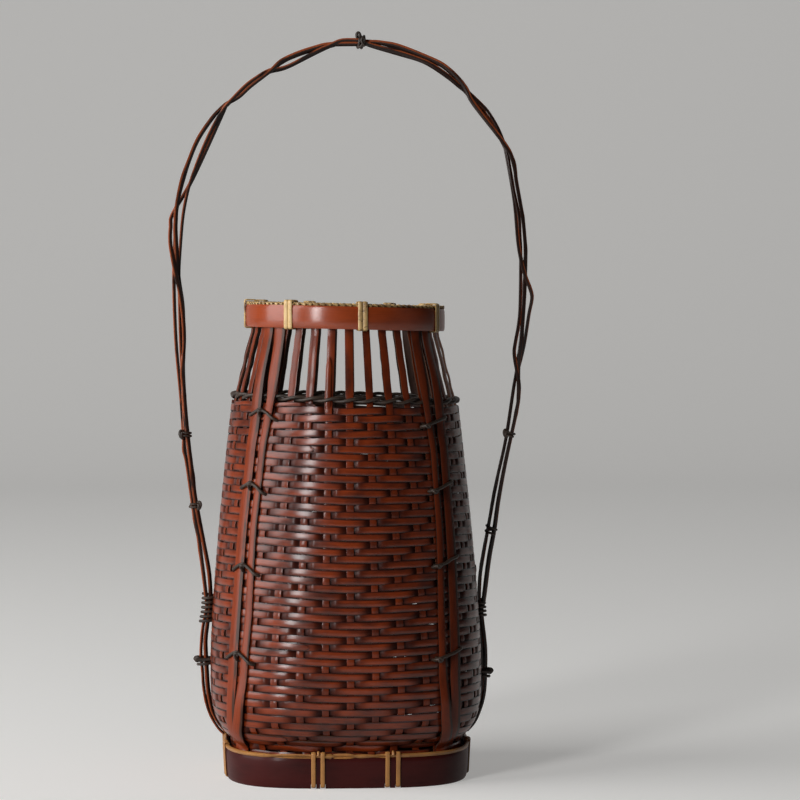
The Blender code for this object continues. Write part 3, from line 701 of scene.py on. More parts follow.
class BASKET_OT_stage(bpy.types.Operator):
    """Set the pale studio, its soft lights and the camera"""
    bl_idname = "basket.stage"
    bl_label = "Set the Stage"

    def execute(self, context):
        stage = context.scene.basket_stage
        self.backdrop(context.scene.basket_colours)
        self.lamps(stage)
        self.camera(context, stage)
        world = bpy.data.worlds.new("studio")
        context.scene.world = world
        world.use_nodes = True
        around = world.node_tree.nodes["Background"]
        around.inputs["Color"].default_value = (0.97, 0.98, 1.0, 1)
        around.inputs["Strength"].default_value = stage.world_light
        context.scene.view_settings.view_transform = "Standard"
        return {"FINISHED"}

    def backdrop(self, paints):
        """One sheet: floor, a wide curve and an upright back."""
        half_width, front, bend, radius, top = 6.0, -3.0, 2.6, 1.6, 5.0
        steps = 24
        profile = [(front, 0.0)]
        for step in range(steps + 1):
            angle = pi / 2 * step / steps
            profile.append((bend + radius * sin(angle), radius * (1 - cos(angle))))
        profile.append((bend + radius, top))
        sheet, column, row = unit_grid("studio_floor", 2, len(profile))
        for corner, across, along in zip(sheet.data.vertices, column, row):
            depth, height = profile[along]
            corner.co = ((across - 0.5) * 2 * half_width, depth, height)
        only(sheet)
        bpy.ops.object.shade_smooth()
        finish = Finish("studio_paper", 0.85)
        grain = finish.noise(finish.place(), 3.0, 2.0)
        shade = scaled(paints.floor)
        paper = finish.mix(grain, scaled(shade, 0.985), shade)
        seen = finish.seen()
        finish.paint(finish.mix(seen, scaled(shade, 0.2), paper))
        finish.join(finish.mix(seen, (0, 0, 0), scaled(shade, 0.38)),
                    finish.shader.inputs["Emission Color"])
        finish.shader.inputs["Emission Strength"].default_value = 1
        sheet.data.materials.append(finish.material)

    def lamps(self, stage):
        """A tall window at the left, a narrow one beside it, a faint fill at the right and a strip above."""
        for name, power, azimuth, height, distance, wide, tall in (
            ("window", stage.key_power, -80, 1.0, 2.4, 2.2, 1.9),
            ("gloss", stage.gloss_power, -35, 0.80, 2.2, 0.36, 1.3),
            ("fill", stage.fill_power, 70, 0.9, 2.4, 1.2, 1.2),
            ("top", stage.fill_power * 1.2, 190, 2.2, 1.2, 1.4, 1.0),
        ):
            data = bpy.data.lights.new(name, "AREA")
            data.energy = power
            data.shape = "RECTANGLE"
            data.size = wide
            data.size_y = tall
            lamp = bpy.data.objects.new(name, data)
            bpy.context.scene.collection.objects.link(lamp)
            turn = radians(azimuth)
            lamp.location = (distance * sin(turn), -distance * cos(turn), height)
            aim = Vector((0, 0, 0.22)) - lamp.location
            lamp.rotation_euler = aim.to_track_quat("-Z", "Y").to_euler()

    def camera(self, context, stage):
        """A long lens at the photograph's angle."""
        turn = stage.camera_azimuth
        data = bpy.data.cameras.new("camera")
        data.sensor_width = 36
        data.lens = data.sensor_width * stage.camera_distance / stage.picture_width
        data.clip_end = 100
        camera = bpy.data.objects.new("camera", data)
        context.scene.collection.objects.link(camera)
        right = Vector((cos(turn), -sin(turn), 0))
        back = Vector((-sin(turn), -cos(turn), 0))
        camera.location = back * stage.camera_distance + right * stage.aim_right + UP * stage.camera_height
        target = right * stage.aim_right + UP * stage.aim_height
        camera.rotation_euler = (target - camera.location).to_track_quat("-Z", "Y").to_euler()
        context.scene.camera = camera


class BASKET_OT_floor(bpy.types.Operator):
    """Plait the woven floor"""
    bl_idname = "basket.floor"
    bl_label = "Plait the Floor"

    def execute(self, context):
        form = Form(context.scene.basket_sizes)
        low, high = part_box("woven_floor")
        middle = (low.z + high.z) / 2
        half = high.x
        count, thickness = 11, 0.9 * MM
        pitch = 2 * half / count
        exponent = form.squareness(0)
        pieces = []
        for turned in (False, True):
            for number in range(count):
                across = (number - (count - 1) / 2) * pitch
                reach = half * max(1 - abs(across / half) ** exponent, 0.05) ** (1 / exponent)
                line, outs = [], []
                steps = count * 4
                for step in range(steps + 1):
                    along = reach * (2 * step / steps - 1)
                    phase = along / pitch + (number + (3 if turned else 0)) % 4
                    lift = 0.40 * MM * sin(pi * phase / 2 + (pi if turned else 0))
                    spot = (along, across) if turned else (across, along)
                    line.append((spot[0], spot[1], middle + thickness / 2 + lift))
                    outs.append((0, 0, 1))
                pieces.append(lay_strip("floor_strip", line, outs, pitch * 0.94, thickness,
                                        bamboo("stake"), seed=number + 40))
        place_piece(joined("floor_plait", pieces), "red_bamboo", "woven_floor")
        return {"FINISHED"}


class BASKET_OT_stakes(bpy.types.Operator):
    """Set the stakes, from under the floor up to the rim"""
    bl_idname = "basket.stakes"
    bl_label = "Set the Stakes"

    def execute(self, context):
        form = Form(context.scene.basket_sizes)
        groups = {side: [] for side in SIDES}
        for number in range(form.stake_count):
            quarter = int((number * form.stake_pitch + pi / 4) // (pi / 2)) % 4
            groups[SIDES[quarter]].append(self.stake(form, number))
        self.doubled(form, groups["front"])
        for side, pieces in groups.items():
            place_piece(joined(f"stakes_of_{side}", pieces), "red_bamboo", f"stakes_{side}", form=form)
        return {"FINISHED"}

    def line(self, form, number):
        """Outer face of one stake and its outward directions, from the floor up to the weave's top."""
        azimuth = number * form.stake_pitch
        line, outs = [], []
        base = 1.15 * MM
        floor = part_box("woven_floor")[0].z
        for inset, height in ((16, -1.35), (11, -1.30), (6, -1.15), (3, -0.6), (1.0, 0.6)):
            spot, out = form.point(azimuth, form.weft_start, -base - inset * MM)
            spot.z = floor + height * MM
            line.append(spot)
            outs.append((out * (1.0 if inset < 2 else 0.3) - UP).normalized())
        dips = set(form.dips)
        for row in range(form.weft_turns):
            crossing = form.stake_count * row + number
            height = form.weft_height(crossing / form.stake_count, azimuth)
            if height > form.weave_top - form.weft_width * 0.3:
                break
            outset = -0.24 * MM if crossing in dips else -0.98 * MM
            spot, out = form.point(azimuth, height, outset)
            line.append(spot)
            outs.append(out)
        return line, outs

    def stake(self, form, number):
        """One stake with its neck, drawn in to the rim."""
        azimuth = number * form.stake_pitch
        line, outs = self.line(form, number)
        rng = random.Random(number)
        rim_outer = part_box("rim_band_inner")[1].x + form.gap + form.stake_thickness
        radial = outward_at(azimuth)
        bottom = Vector((form.ring_half_width, form.ring_height - 3.0 * MM))
        top = Vector((rim_outer, form.rim_bottom - 1.0 * MM))
        for step in range(9):
            share = step / 8
            spot = bottom.lerp(top, share)
            bow = 0.5 * MM * sin(pi * share) * rng.uniform(-0.6, 1.0)
            line.append(radial * (spot.x + bow) + UP * spot.y)
            outs.append(radial)
        line.append(radial * rim_outer + UP * (form.rim_top - 1.2 * MM))
        outs.append(radial)
        fine = smooth_line([Vector(place) for place in line], 3)
        turned = smooth_line([Vector(place) for place in outs], 3)
        turned = [place.normalized() for place in turned]
        wide = form.stake_width * rng.uniform(0.93, 1.05)
        widths = [wide * (1 + 0.12 * smooth_step((place.z - form.weave_top) / (12 * MM))) for place in fine]
        return lay_strip("stake", fine, turned, widths, form.stake_thickness,
                         bamboo("stake"), crown=0.05, edge=0.15, seed=number)

    def doubled(self, form, pieces):
        """The spliced stake at the front: a second strip laid on it, from the top of the weave up."""
        number = -1
        azimuth = number * form.stake_pitch - radians(0.6)
        radial = outward_at(azimuth)
        line, widths = [], []
        low, high = form.ring_height - 9 * MM, form.ring_height + 27 * MM
        steps = 14
        for step in range(steps + 1):
            share = step / steps
            height = low + (high - low) * share
            neck = max((height - form.ring_height) / (form.rim_bottom - form.ring_height), 0)
            radius = form.ring_half_width + (form.rim_half_width - 3.0 * MM - form.ring_half_width) * neck
            line.append(radial * (radius + 1.1 * MM - 0.6 * MM * share) + UP * height)
            widths.append(form.stake_width * 0.8 * min(1, 0.25 + 5 * (1 - share)))
        pieces.append(lay_strip("stake", line, [radial] * len(line), widths, 0.6 * MM,
                                bamboo("stake"), seed=77))


class BASKET_OT_wefts(bpy.types.Operator):
    """Weave the wefts over two stakes and under one, splicing in new ones on the way up"""
    bl_idname = "basket.wefts"
    bl_label = "Weave the Wefts"

    # Row and stake over which each weft ends, as the splices lie on the basket
    SPLICES = ((6, -3), (19, -2), (28, 9), (37, -14), (46, -2), (52, -2))
    # Points of the line from one stake to the next
    STEPS = 11
    # How far a new weft starts before the last one ends, in stakes
    OVERLAP = 1.3

    def execute(self, context):
        form = Form(context.scene.basket_sizes)
        ends = [row * form.stake_count + stake + 0.35 for row, stake in self.SPLICES]
        starts = [0.0] + [end - self.OVERLAP for end in ends[:-1]]
        pieces = []
        for number, (start, end) in enumerate(zip(starts, ends)):
            line, outs, widths, shade = self.strand(form, start, end, number)
            pieces.append(lay_strip(f"weft_{number + 1}", line, outs, widths, form.weft_thickness,
                                    bamboo("weft"), crown=0.10, edge=0.14,
                                    seed=number * 11, shade=shade))
        for piece in pieces[1:]:
            place_piece(piece, "red_bamboo", form=form)
        place_piece(pieces[0], "red_bamboo", "woven_body", form=form)
        return {"FINISHED"}

    def crossing(self, form, place):
        """How far out the weft runs, from 0 under a stake to 1 over one, how brightly it is painted, with
        painted shade where it dives under a stake, and its place.
        """
        after = max(bisect(form.dips, place), 1)
        before, next_dip = form.dips[after - 1], form.dips[min(after, len(form.dips) - 1)]
        share = min(max((place - before) / max(next_dip - before, 1), 0), 1)
        distance = min(abs(place - before), abs(next_dip - place))
        return smooth_step((distance - 0.10) / 0.34), smooth_step((distance - 0.12) / 0.70), share

    def strand(self, form, start, end, number):
        """One weft from its hidden start to the end that lies over a stake."""
        rng = random.Random(number + 5)
        line, outs, widths, shade = [], [], [], []
        wander = [rng.uniform(-1, 1) for index in range(int(end - start) // 2 + 6)]
        inner, outer = -1.62 * MM, 0.10 * MM
        count = int((end - start) * self.STEPS)
        for step in range(count + 1):
            place = start + (end - start) * step / count
            turns = place / form.stake_count
            azimuth = place * form.stake_pitch
            deep, worn, share = self.crossing(form, place)
            outset = inner + (outer - inner) * deep + 0.12 * MM * sin(pi * share) ** 4
            outset += 0.78 * MM * smooth_step((place - end + self.OVERLAP + 1.0) / 0.8)
            part = (place - start) / 2
            low = int(part)
            sway = wander[low] + (wander[low + 1] - wander[low]) * smooth_step(part - low)
            slant = 0.26 * MM if turns < form.twill_turns + 0.4 else -0.38 * MM
            height = form.weft_height(turns, azimuth) + 0.12 * MM * sway + slant * sin(2 * pi * share)
            last = smooth_step((turns - form.weft_turns - 0.2) / 0.6)
            height -= 1.6 * MM * last
            spot, out = form.point(azimuth, height, outset)
            line.append(spot)
            outs.append(out)
            taper = min(1, 0.45 + 3.0 * min(place - start, end - place))
            widths.append(form.weft_width * taper * (1 + 0.025 * sway) * (1 - 0.42 * last))
            # Painted shade where the weft dives under a stake, bright on its crown
            shade.append(0.10 + 0.90 * worn)
        return line, outs, widths, shade


class BASKET_OT_neck_ring(bpy.types.Operator):
    """Twine the neck ring round the stakes"""
    bl_idname = "basket.neck_ring"
    bl_label = "Twine the Neck"

    def execute(self, context):
        form = Form(context.scene.basket_sizes)
        middle = form.ring_half_width - form.stake_thickness / 2
        swing = form.stake_thickness / 2 + form.ring_radius
        lift = 1.25 * MM
        rng = random.Random(3)
        points = []
        per_space = 6
        sways = [rng.uniform(-0.25, 0.25) for index in range(2 * form.stake_count + 1)]
        for step in range(2 * form.stake_count * per_space):
            space = step / per_space
            azimuth = space * form.stake_pitch
            side = max(min(1.35 * cos(pi * space), 1), -1)
            radius = middle + side * swing
            sway = sways[int(space)] * sin(pi * (space % 1)) ** 2 * MM
            height = form.ring_height + lift * sin(pi * space) + sway
            points.append(Vector((radius * sin(azimuth), -radius * cos(azimuth), height)))
        ring = lay_strand("neck_twining", points, form.ring_radius, finishes()["rattan"], closed=True)
        place_piece(ring, "dark_rattan", "neck_ring", form=form)
        return {"FINISHED"}


class BASKET_OT_ribs(bpy.types.Operator):
    """Fit the wide ribs, two at each corner"""
    bl_idname = "basket.ribs"
    bl_label = "Fit the Corner Ribs"

    # Height in millimetres; the pair's middle, half its spacing and its turn round the basket in degrees
    WAY = ((20, 49.5, 2.2, 4.3), (30, 48.0, 2.2, 4.0), (45, 44.6, 2.6, 3.5), (68, 43.8, 3.0, 3.1),
           (106, 44.8, 3.6, 2.3), (161, 47.6, 3.5, 1.4), (215, 48.0, 3.9, 0.2), (229, 46.9, 4.1, 0.0),
           (248, 44.8, 4.6, 0.0), (268, 46.2, 4.9, 0.0), (290, 49.2, 4.9, 0.0))

    @classmethod
    def pair(cls, place, height):
        """Middle azimuth of the pair at this place among the corners, and half its spacing."""
        heights, middles, halves, turns = zip(*cls.WAY)
        middle, half, turn = (radians(np.interp(height / MM, heights, values))
                              for values in (middles, halves, turns))
        return rib_azimuths(middle)[place] - turn, half

    def width(self, form, height, forward):
        """Width of a rib: the one nearer the front or back is slim up the body and wide at both ends."""
        if not forward:
            return form.rib_width * 1.04
        neck = smooth_step((height - form.weave_top) / (18 * MM))
        foot = 1 - smooth_step((height - form.tuck_height) / (70 * MM))
        return form.rib_width * (0.66 + 0.34 * max(neck, foot))

    def execute(self, context):
        form = Form(context.scene.basket_sizes)
        looks = finishes()
        for place, corner in enumerate(CORNERS):
            azimuth = self.pair(place, 0)[0]
            for number, side in enumerate((-1, 1)):
                forward = (side < 0) == (sin(azimuth) * cos(azimuth) > 0)
                line, outs = self.line(form, place, side, forward)
                rng = random.Random(f"{corner}{number}")
                widths = []
                for spot in line:
                    sway = 0.03 * sin(spot.z * 90 + rng.uniform(0, 0.2))
                    widths.append(self.width(form, spot.z, forward) * (1 + sway))
                rib = lay_strip(f"corner_rib_{corner}_{number + 1}", line, outs, widths, form.rib_thickness,
                                (looks["rib"], looks["pith"], looks["pith"]), crown=0.10, edge=0.18,
                                seed=number + 90 + place * 2)
                place_piece(rib, "red_bamboo", f"rib_{corner}_{number + 1}", form=form)
        return {"FINISHED"}

    def line(self, form, place, side, forward):
        """Outer face of one rib and its outward directions, from the base band up to the rim."""
        ring_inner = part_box("neck_ring")[1].x + form.gap
        rim_inner = form.rim_half_width - form.outer_band - form.gap - form.rib_thickness
        last = form.weave_top - 14 * MM
        heights = [3.0 * MM, 12 * MM, 20 * MM]
        heights += [form.tuck_height + (last - form.tuck_height) * (step / 20) ** 1.25 for step in range(21)]
        line, outs = [], []
        for height in heights:
            over = 1.3 * MM * (1 - smooth_step((height - 45 * MM) / (30 * MM))) if forward else 0
            spot, out = form.point(self.middle(place, side, height), height,
                                   form.gap + form.rib_thickness + over)
            line.append(spot)
            outs.append(out)
        for height, radius in ((form.ring_height, ring_inner - 0.3 * MM),
                               (form.ring_height + 15 * MM, ring_inner * 0.72 + rim_inner * 0.28),
                               (form.rim_bottom - 12 * MM, (ring_inner * 0.25 + rim_inner * 0.75)),
                               (form.rim_bottom - 1 * MM, rim_inner),
                               (form.rim_top - 1.2 * MM, rim_inner)):
            out = outward_at(self.middle(place, side, height))
            line.append(out * (radius + form.rib_thickness) + UP * height)
            outs.append(out)
        return smooth_line(line, 3), [out.normalized() for out in smooth_line(outs, 3)]

    def middle(self, place, side, height):
        """Azimuth of one rib's middle line at this height."""
        middle, half = self.pair(place, height)
        return middle + side * half


def rib_azimuths(azimuth):
    """Middle of each corner's pair of ribs, in the order of the corners."""
    return azimuth, pi - azimuth, azimuth - pi, -azimuth


class BASKET_OT_rib_ties(bpy.types.Operator):
    """Tie the ribs to the weave with dark rattan"""
    bl_idname = "basket.rib_ties"
    bl_label = "Tie the Ribs"

    # Heights of the ties as shares of the way from the tuck to the weave's top
    LEFT_SHARES = (0.2665, 0.522, 0.757, 0.973)
    RIGHT_SHARES = (0.2725, 0.544, 0.766, 0.958)
    # Ways of a tie's two strands, as shares: across the pair of ribs, up, and out from the ribs. The
    # strands start and end UNDER the weave's outer face.
    UNDER = -1
    LEFT_WAYS = (
        ((-1.24, -0.5, UNDER), (-1.10, -0.45, 0.6), (-0.90, -0.30, 1.02), (-0.45, 0.35, 1.05),
         (-0.10, 0.75, 1.0), (0.10, 0.55, 0.7), (0.14, 0.05, UNDER)),
        ((-0.22, -0.75, UNDER), (-0.12, -0.45, 0.7), (0.02, 0.35, 1.9), (0.22, 0.55, 1.35),
         (0.55, 0.05, 1.05), (0.92, -0.70, 1.02), (1.10, -1.05, 0.6), (1.24, -1.25, UNDER)),
    )
    RIGHT_WAYS = (
        ((1.22, -1.15, UNDER), (1.14, -1.05, 0.7), (0.92, -0.85, 1.04), (0.30, -0.25, 1.05),
         (-0.30, 0.35, 1.02), (-0.90, 0.95, 1.0), (-1.12, 1.2, 0.6), (-1.22, 1.35, UNDER)),
        ((1.02, -0.55, UNDER), (1.06, -0.75, 0.9), (1.12, -1.05, 1.7), (1.00, -1.35, 1.5),
         (0.88, -1.05, 1.7), (0.98, -0.75, 1.8), (1.16, -0.95, 1.2), (1.26, -1.1, UNDER)),
    )

    def execute(self, context):
        form = Form(context.scene.basket_sizes)
        for place, corner in enumerate(CORNERS):
            right = corner in ("front_right", "back_left")
            for number, share in enumerate(self.RIGHT_SHARES if right else self.LEFT_SHARES):
                strands = self.strands(form, place, share, right, random.Random(f"{corner}{number}"))
                tie = joined(f"tie_{corner}_{number + 1}", strands)
                place_piece(tie, "dark_rattan", f"rib_tie_{corner}_{number + 1}", form=form)
        return {"FINISHED"}

    def strands(self, form, place, share, right, rng):
        """The two strands of one tie."""
        high = form.gap + form.rib_thickness + form.tie_radius
        height = form.tuck_height + (form.weave_top - form.tuck_height) * share
        azimuth, half = BASKET_OT_ribs.pair(place, height)
        across = form.point(azimuth, height)[0].xy.length
        reach = form.rib_width / 2 / across + half
        sideways, slope = (1, 2.6 * MM) if right else (-1, 3.4 * MM)
        strands = []
        for way in self.RIGHT_WAYS if right else self.LEFT_WAYS:
            line = []
            for along, rise, out in way:
                level = height + rise * slope + rng.uniform(-0.3, 0.3) * MM
                turn = azimuth - sideways * along * reach
                outset = -1.2 * MM if out == self.UNDER else out * high
                line.append(form.point(turn, level, outset)[0])
            strands.append(lay_strand("tie", smooth_line(line, 5), form.tie_radius * 1.06,
                                      finishes()["rattan"]))
        return strands


class BASKET_OT_base_band(bpy.types.Operator):
    """Bend the base band and lay its golden edging"""
    bl_idname = "basket.base_band"
    bl_label = "Bend the Base Band"

    # Points round the band
    COLUMNS = 200
    # The edging's width along the front: millimetres from the middle and shares of its full width
    EDGING_WIDTHS = ((-55, 1.0), (-44, 0.45), (-26, 0.40), (-17, 0.9), (-12, 1.35), (-10, 0.25), (-1, 0.15),
                     (1, 0.5), (6, 1.1), (14, 0.8), (20, 0.45), (26, 0.5), (32, 1.0))

    def outline(self, form, inset, height):
        """The band's rounded square at this height, with outward directions."""
        line, outs = [], []
        half_width = form.band_at(height) - inset
        exponent = form.squareness(0)
        for column in range(self.COLUMNS):
            azimuth = pi + 2 * pi * column / self.COLUMNS
            spot = form.section(azimuth, half_width, exponent, height)
            ahead = form.section(azimuth + 0.002, half_width, exponent, height) - spot
            line.append(spot)
            outs.append(Vector((ahead.y, -ahead.x, 0)).normalized())
        return line, outs

    def execute(self, context):
        form = Form(context.scene.basket_sizes)
        line, outs = self.outline(form, 0, form.band_height / 2)
        tilt = form.band_flare / form.band_height
        outs = [(out - UP * tilt).normalized() for out in outs]
        band = lay_strip("band_hoop", line, outs, form.band_height, form.band_thickness,
                         bamboo("band"), crown=0.10, edge=0.28, closed=True,
                         shares=BAND_SHARES, seed=31)
        self.notch(form, band)
        place_piece(band, "band_bamboo", "base_band")
        low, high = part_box("base_edging")
        line, outs = self.outline(form, 0.9 * MM, form.band_height)
        line = [Vector((spot.x, spot.y, 0)) + out * 1.15 * MM + UP * (low.z + high.z) / 2
                for spot, out in zip(line, outs)]
        outs = [(out + UP * 0.35).normalized() for out in outs]
        places, shares = zip(*self.EDGING_WIDTHS)
        full = 2.6 * MM
        widths = []
        for spot in line + line[:1]:
            front = spot.y < -0.8 * form.band_half_width
            widths.append(full * np.interp(spot.x / MM, places, shares) if front else full)
        edging = lay_strip("band_edging", line, outs, widths, 1.9 * MM, (finishes()["gold"],), crown=0.45,
                           edge=0.35, closed=True, seed=3)
        place_piece(edging, "gold_rattan", "base_edging")
        return {"FINISHED"}

    def notch(self, form, band):
        """Cut the notches that the wraps pass through."""
        deep, wide, tall = 8 * MM, 3.5 * MM, 5.6 * MM
        for middle, out, along, pitch in wrap_places(form):
            for side in (-0.5, 0.5):
                bpy.ops.object.select_all(action="DESELECT")
                bpy.ops.mesh.primitive_cube_add(size=1, location=middle + along * side * pitch,
                                                rotation=(0, 0, atan2(out.y, out.x)))
                cutter = bpy.context.object
                cutter.scale = (deep, wide, tall)
                bpy.ops.object.transform_apply(location=False, rotation=False, scale=True)
                only(band)
                cut = band.modifiers.new("notch", "BOOLEAN")
                cut.operation = "DIFFERENCE"
                cut.object = cutter
                bpy.ops.object.modifier_apply(modifier=cut.name)
                bpy.data.objects.remove(cutter, do_unlink=True)


# Where the wraps sit along each side of the base, and how far apart their two turns lie
WRAP_SHARES = (-0.26, 0.35)
WRAP_PITCHES = (5.8 * MM, 6.8 * MM)


def wrap_places(form):
    """Middle, outward and sideways directions and pitch of each wrap on the base band."""
    places = []
    half_width = form.band_at(0) - form.band_thickness / 2
    for quarter in range(4):
        for share, pitch in zip(WRAP_SHARES, WRAP_PITCHES):
            azimuth = atan2(share, 1) + quarter * pi / 2
            middle = form.section(azimuth, half_width, form.squareness(0), 0)
            ahead = form.section(azimuth + 0.003, half_width, form.squareness(0), 0)
            along = (ahead - middle).normalized()
            places.append((middle, Vector((along.y, -along.x, 0)), along, pitch))
    return places


def wrap_round(name, inner, outer, bottom, top, turns, pitch, width, thickness, finish, place, seed):
    """A flat strand wound round a stack of this section; place turns section points into real ones."""
    corner = 0.9 * MM
    arc = 4
    longest = 1.6 * MM
    ring = []
    near, far, low, high = inner + corner, outer - corner, bottom + corner, top - corner
    for across, level, start in ((near, low, pi), (far, low, 1.5 * pi), (far, high, 0),
                                 (near, high, pi / 2)):
        for step in range(arc + 1):
            angle = start + pi / 2 * step / arc
            ring.append((across + corner * cos(angle), level + corner * sin(angle), angle))
    line, outs = [], []
    count = int(turns * len(ring))
    for index in range(count + 1):
        across, level, angle = ring[index % len(ring)]
        side = (min(index // len(ring), turns - 1) - (turns - 1) / 2) * pitch
        line.append(place(across + thickness * cos(angle), level + thickness * sin(angle), side))
        outs.append(place(across + cos(angle), level + sin(angle), side) - place(across, level, side))
    fine, fine_outs = [], []
    for first, second, out_one, out_two in zip(line, line[1:], outs, outs[1:]):
        pieces = max(int((second - first).length / longest), 1)
        for step in range(pieces):
            fine.append(first.lerp(second, step / pieces))
            fine_outs.append(out_one.lerp(out_two, step / pieces).normalized())
    fine.append(line[-1])
    fine_outs.append(outs[-1].normalized())
    return lay_strip(name, fine, fine_outs, width, thickness, (finish,), crown=0.30, edge=0.45, seed=seed)


class BASKET_OT_base_wraps(bpy.types.Operator):
    """Wind golden rattan round the base band"""
    bl_idname = "basket.base_wraps"
    bl_label = "Wrap the Base Band"

    def execute(self, context):
        form = Form(context.scene.basket_sizes)
        gold = finishes()["gold"]
        half = form.band_thickness / 2
        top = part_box("base_wrap_1")[1].z - 1.8 * MM
        for number, (middle, out, along, pitch) in enumerate(wrap_places(form)):
            def place(across, level, side):
                flare = form.band_flare * level / form.band_height
                return middle + out * (across + flare) + along * side + UP * level

            wrap = wrap_round(f"band_wrap_{number + 1}", -half - 0.15 * MM, half + 0.25 * MM, 1.2 * MM, top,
                              2, pitch, 2.8 * MM, 0.8 * MM, gold, place, number + 60)
            bead = [place(across * MM, top + rise * MM, 0.2 * MM) for across, rise in
                    ((-1.0, -1.2), (-0.6, 0.2), (0.4, 0.5), (1.2, 0.0), (1.5, -1.4))]
            bead = lay_strand("bead", smooth_line(bead, 4), 0.85 * MM, gold)
            wrap = joined(wrap.name, [wrap, bead])
            place_piece(wrap, "gold_rattan", f"base_wrap_{number + 1}")
        return {"FINISHED"}


class BASKET_OT_rim(bpy.types.Operator):
    """Bend the two rim bands and overcast their top"""
    bl_idname = "basket.rim"
    bl_label = "Bend the Rim"

    # Points round a band, and turns of the lashing
    COLUMNS = 160
    BEADS = 94

    def execute(self, context):
        form = Form(context.scene.basket_sizes)
        inner_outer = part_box("rim_band_inner")[1].x
        for name, radius, thickness, skin, node in (
            ("rim_outer_band", form.rim_half_width, form.outer_band, "rim", "rim_band_outer"),
            ("rim_inner_band", inner_outer, form.inner_band, "band", "rim_band_inner"),
        ):
            line, outs = [], []
            for column in range(self.COLUMNS):
                azimuth = pi + 2 * pi * column / self.COLUMNS
                out = outward_at(azimuth)
                line.append(out * radius + UP * (form.rim_bottom + form.rim_height / 2))
                outs.append(out)
            band = lay_strip(name, line, outs, form.rim_height, thickness,
                             bamboo(skin), crown=0.10, edge=0.25, closed=True,
                             shares=BAND_SHARES, seed=12)
            place_piece(band, "rim_bamboo" if skin == "rim" else "band_bamboo", node, form=form)
        self.overcast(form, inner_outer - form.inner_band)
        return {"FINISHED"}

    def overcast(self, form, inner):
        """A round core on the bands' top, wound with golden rattan."""
        look = finishes()["mottled"]
        middle = (form.rim_half_width + inner) / 2
        half = (form.rim_half_width - inner) / 2
        base = form.rim_top + form.gap
        points = 120
        core = []
        for step in range(points):
            azimuth = 2 * pi * step / points
            core.append(Vector((middle * sin(azimuth), -middle * cos(azimuth), base + 0.3 * MM)))
        core = lay_strand("core", core, 1.0 * MM, look, closed=True)
        line, outs = [], []
        per_bead = 12
        rng = random.Random(8)
        sways = [rng.uniform(-0.2, 0.2) for bead in range(self.BEADS + 1)]
        for step in range(self.BEADS * per_bead):
            bead = step / per_bead
            angle = 2 * pi * (bead % 1)
            azimuth = 2 * pi * (bead + sways[int(bead)] * sin(pi * (bead % 1)) ** 2) / self.BEADS
            out = outward_at(azimuth)
            across, rise = cos(angle), sin(angle)
            line.append(out * (middle + half * 0.94 * across)
                        + UP * (base + 0.5 * MM + (1.3 if rise > 0 else 0.25) * MM * rise))
            outs.append((out * across * 0.75 + UP * (rise if rise > 0 else rise * 0.6)).normalized())
        lashing = lay_strip("lashing", line, outs, 3.3 * MM, 0.65 * MM, (look,), crown=0.45, edge=0.45,
                            closed=True, seed=5)
        place_piece(joined("rim_overcast", [core, lashing]), "gold_rattan", "rim_edging", form=form)


class BASKET_OT_rim_wraps(bpy.types.Operator):
    """Wind golden rattan round the rim bands"""
    bl_idname = "basket.rim_wraps"
    bl_label = "Wrap the Rim"

    # Where each wrap sits, counted in stakes from the front
    PLACES = (0.76, 6.14, 11.5, 14.5, 19.5, 23.5, 26.5, 31.5)

    def execute(self, context):
        form = Form(context.scene.basket_sizes)
        looks = finishes()
        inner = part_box("rim_band_inner")[1].x - form.inner_band
        top = form.rim_top + 2.0 * MM
        for number, stakes in enumerate(self.PLACES):
            azimuth = stakes * form.stake_pitch
            out = outward_at(azimuth)
            along = Vector((cos(azimuth), sin(azimuth), 0))

            def place(across, level, side):
                return out * across + along * side + UP * level

            look = looks["mottled" if number % 3 == 0 else "pale"]
            wrap = wrap_round(f"rim_binding_{number + 1}", inner - 0.2 * MM, form.rim_half_width + 0.2 * MM,
                              form.rim_bottom - 0.3 * MM, top + 0.75 * MM, 2, 3.15 * MM, 3.1 * MM, 0.7 * MM,
                              look, place, number + 70)
            place_piece(wrap, "gold_rattan", f"rim_wrap_{number + 1}", form=form)
        return {"FINISHED"}


